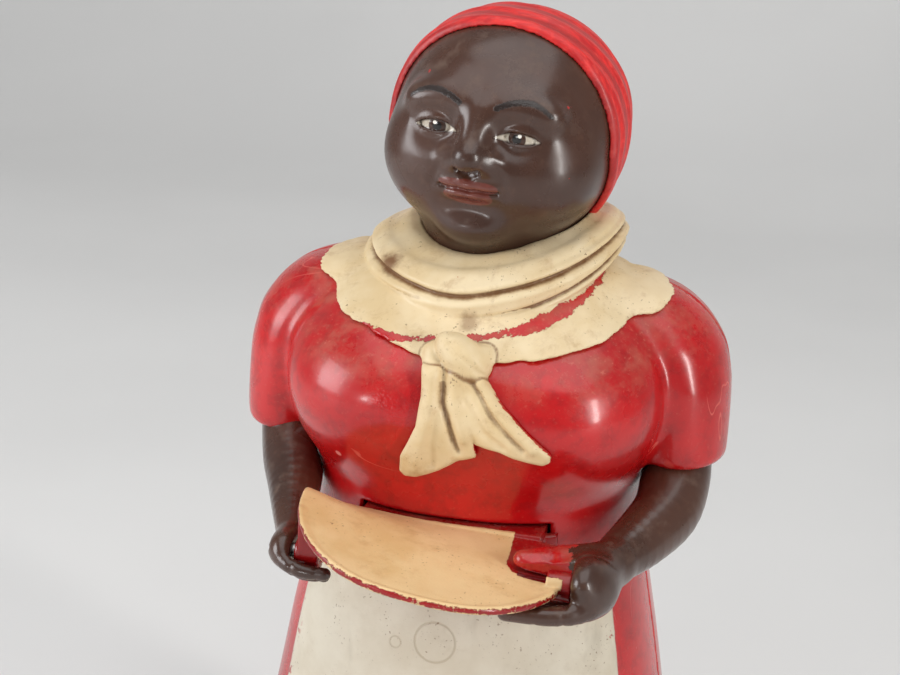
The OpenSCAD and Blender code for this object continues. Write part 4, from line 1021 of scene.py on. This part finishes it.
sc = field_mesh("head_scarf_cloth", scarf_fn, (-21, -19, 128), (22, 21, 167), 0.32, relax=1, mat=M_SCARF, replaces=("head_scarf",))
v = verts_mm(sc); a, b, c = hl(v[:, 0], v[:, 1], v[:, 2])
t = -pleat_coord(a, b, c)
put_attr(sc, "pleat", 0.5 + 0.5 * np.cos(t * 2 * np.pi / 4.6 + 0.7 * np.sin(a * 0.15)))

al = field_mesh("forearm_hand_left", arm_fn, (10, -47, 78), (38.5, 5, 103), 0.36, mat=M_ARM, replaces=("forearm_left",))
ar = field_mesh("forearm_hand_right", lambda x, y, z: arm_fn(-x, y, z, False), (-38.5, -47, 78), (-10, 5, 103), 0.36, mat=M_ARM, replaces=("forearm_right",))
for ob, sx in ((al, 1), (ar, -1)):
    v = verts_mm(ob); x, y, z = v[:, 0] * sx, v[:, 1], v[:, 2]
    w = 0.9 - 0.62 * np.maximum(x - 18.6, 0) - 0.8 * np.maximum(88.2 - z, 0) - 0.5 * np.maximum(y + 27.5, 0) - (0.0 if sx > 0 else 4.0)
    put_attr(ob, "worn", np.clip(w, -4, 4))

tr = field_mesh("tray_dish", tray_fn, (-22.6, -55.5, 80), (22.2, -3, 95), 0.30, relax=1, body="tray", mat=M_TRAY, replaces=("tray",))
v = verts_mm(tr); x, y, z = v[:, 0], v[:, 1], v[:, 2]
yc = y + 24.0; bb = np.where(yc < 0, 29.6, 6.0)
q = (np.abs(x) / np.where(x < 0, 21.7, 20.8) + 1e-5) ** 2.5 + (np.abs(yc) / bb + 1e-5) ** 2.5
Lp = np.sqrt(x * x + yc * yc) + 1e-4; plan = Lp - Lp / q ** 0.4
hand_rub = poly2(x, y, [(9.8, -23), (10.3, -34), (11.5, -36), (13.4, -37.1), (21.5, -37.9), (23, -23)])
zs = z + 0.14 * x * sstep((-y - 23.0) / 9) - 0.006 * np.maximum(-x - 2, 0) ** 2 * sstep((-y - 20.0) / 9)
pt = np.minimum(np.minimum((zs - 89.1) * 0.9, -plan - 0.12), hand_rub * 0.9 + 0.2)
pt = np.minimum(pt, -(y + 25.3 - np.where(x > 0, 0.0, 0.0075) * x * x))
put_attr(tr, "painted", np.clip(pt, -3, 3))

bw = field_mesh("apron_bow", bow_fn, (-14.5, 29.5, 87.5), (14.5, 34.2, 97.5), 0.26, relax=1, body="lever", mat=M_BOW, replaces=("thumb_pad",))
v = verts_mm(bw); x, y, z = v[:, 0], v[:, 1], v[:, 2]
put_attr(bw, "rub", np.clip(-1.2 + 0.9 * np.abs(x) / 12 + 0.5 * (y < 30.9), -3, 3))

# ------------------------------------------------------------------ frame nodes kept as they are
keep = dict(neck_plug=M_REDIN, tray_pins=M_STEEL, drive_pins=M_STEEL, lever=M_PLATE, pad_rivet=M_STEEL, lever_axle=M_STEEL,
            axle_clips=M_SPRING, lever_bracket=M_PLATE, bracket_screws=M_STEEL, return_spring=M_SPRING, coin_chute=M_BLACK,
            chute_screws=M_STEEL, base_plate=M_REDIN, base_screws=M_STEEL, shell_screws=M_STEEL, trap_plug=M_RUBBER)
for n, mt in keep.items():
    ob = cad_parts[n]
    if len(ob.material_slots):
        for sl in ob.material_slots: sl.material = mt
    else: ob.data.materials.append(mt)

# ------------------------------------------------------------------ floor, light, camera
fm = Mat("studio_floor")
fm.set(color=fm.mix(fm.step(fm.noise(180, 3, 0.5, seed=200.0), 0.3, 0.7), lin(224, 223, 221), lin(230, 229, 227)),
       rough=0.75, normal=fm.bump(fm.noise(1.2, 3, 0.6, seed=201.0), 0.05, 0.4))
me = bpy.data.meshes.new("floor")
N = 40; R = 1.6
prof = [(-R, 0.0)] + [(R * 0.35 * t, 0.0) for t in (0, .5, 1)]
prof += [(0.56 + 0.35 * math.sin(i / 12 * math.pi / 2), 0.35 * (1 - math.cos(i / 12 * math.pi / 2))) for i in range(1, 13)]
prof += [(0.91, 1.6)]
vs, fcs = [], []
for i, (yy, zz) in enumerate(prof):
    vs += [(-2.2, yy, zz), (2.2, yy, zz)]
for i in range(len(prof) - 1): fcs.append((2 * i, 2 * i + 1, 2 * i + 3, 2 * i + 2))
me.from_pydata(vs, [], fcs); me.update(); me.shade_smooth()
floor = bpy.data.objects.new("floor", me); bpy.context.scene.collection.objects.link(floor)
me.materials.append(fm.m)

def area(name, loc, target, sx, sy, power, col=(1, 1, 1)):
    l = bpy.data.lights.new(name, "AREA"); l.shape = "RECTANGLE"; l.size = sx; l.size_y = sy
    l.energy = power; l.color = col
    o = bpy.data.objects.new(name, l); bpy.context.scene.collection.objects.link(o)
    o.location = loc
    d = Vector(target) - Vector(loc)
    o.rotation_euler = d.to_track_quat("-Z", "Y").to_euler()
    return o

area("window_right", (0.66, -0.42, 0.30), (0.0, 0, 0.11), 0.07, 0.46, 3.0, (1.0, 0.98, 0.95))
area("window_left", (-0.62, -0.30, 0.30), (0.0, 0, 0.11), 0.36, 0.42, 3.2, (0.97, 0.98, 1.0))
area("top_fill", (0.05, -0.15, 0.85), (0, 0, 0.1), 0.9, 0.9, 3.9)
area("glare_left", (-0.26, -0.56, 0.13), (0.0, -0.03, 0.11), 0.05, 0.05, 0.28)
w = bpy.data.worlds.new("studio"); bpy.context.scene.world = w; w.use_nodes = True
w.node_tree.nodes["Background"].inputs[0].default_value = (0.80, 0.82, 0.85, 1)
w.node_tree.nodes["Background"].inputs[1].default_value = 0.36

AZ, EL, ROLL, DIST, TX, TZ = math.radians(11.7), math.radians(17.0), math.radians(3.0), 320.0, -6.6, 111.8
back = Vector((math.sin(AZ) * math.cos(EL), -math.cos(AZ) * math.cos(EL), math.sin(EL)))
tgt = Vector((TX * math.cos(AZ), TX * math.sin(AZ), TZ))
fwd = -back
rt = fwd.cross(Vector((0, 0, 1))).normalized(); up = rt.cross(fwd)
R2 = rt * math.cos(ROLL) + up * math.sin(ROLL); U2 = -rt * math.sin(ROLL) + up * math.cos(ROLL)
cam = bpy.data.cameras.new("camera"); cam.sensor_width = 36.0; cam.lens = 80.0; cam.clip_start = 0.01; cam.clip_end = 20
co = bpy.data.objects.new("camera", cam); bpy.context.scene.collection.objects.link(co)
P = (tgt + back * DIST) / 1000.0
co.matrix_world = Matrix(((R2.x, U2.x, back.x, P.x), (R2.y, U2.y, back.y, P.y), (R2.z, U2.z, back.z, P.z), (0, 0, 0, 1)))
bpy.context.scene.camera = co
bpy.context.scene.view_settings.view_transform = "Standard"

bpy.context.view_layer.update()
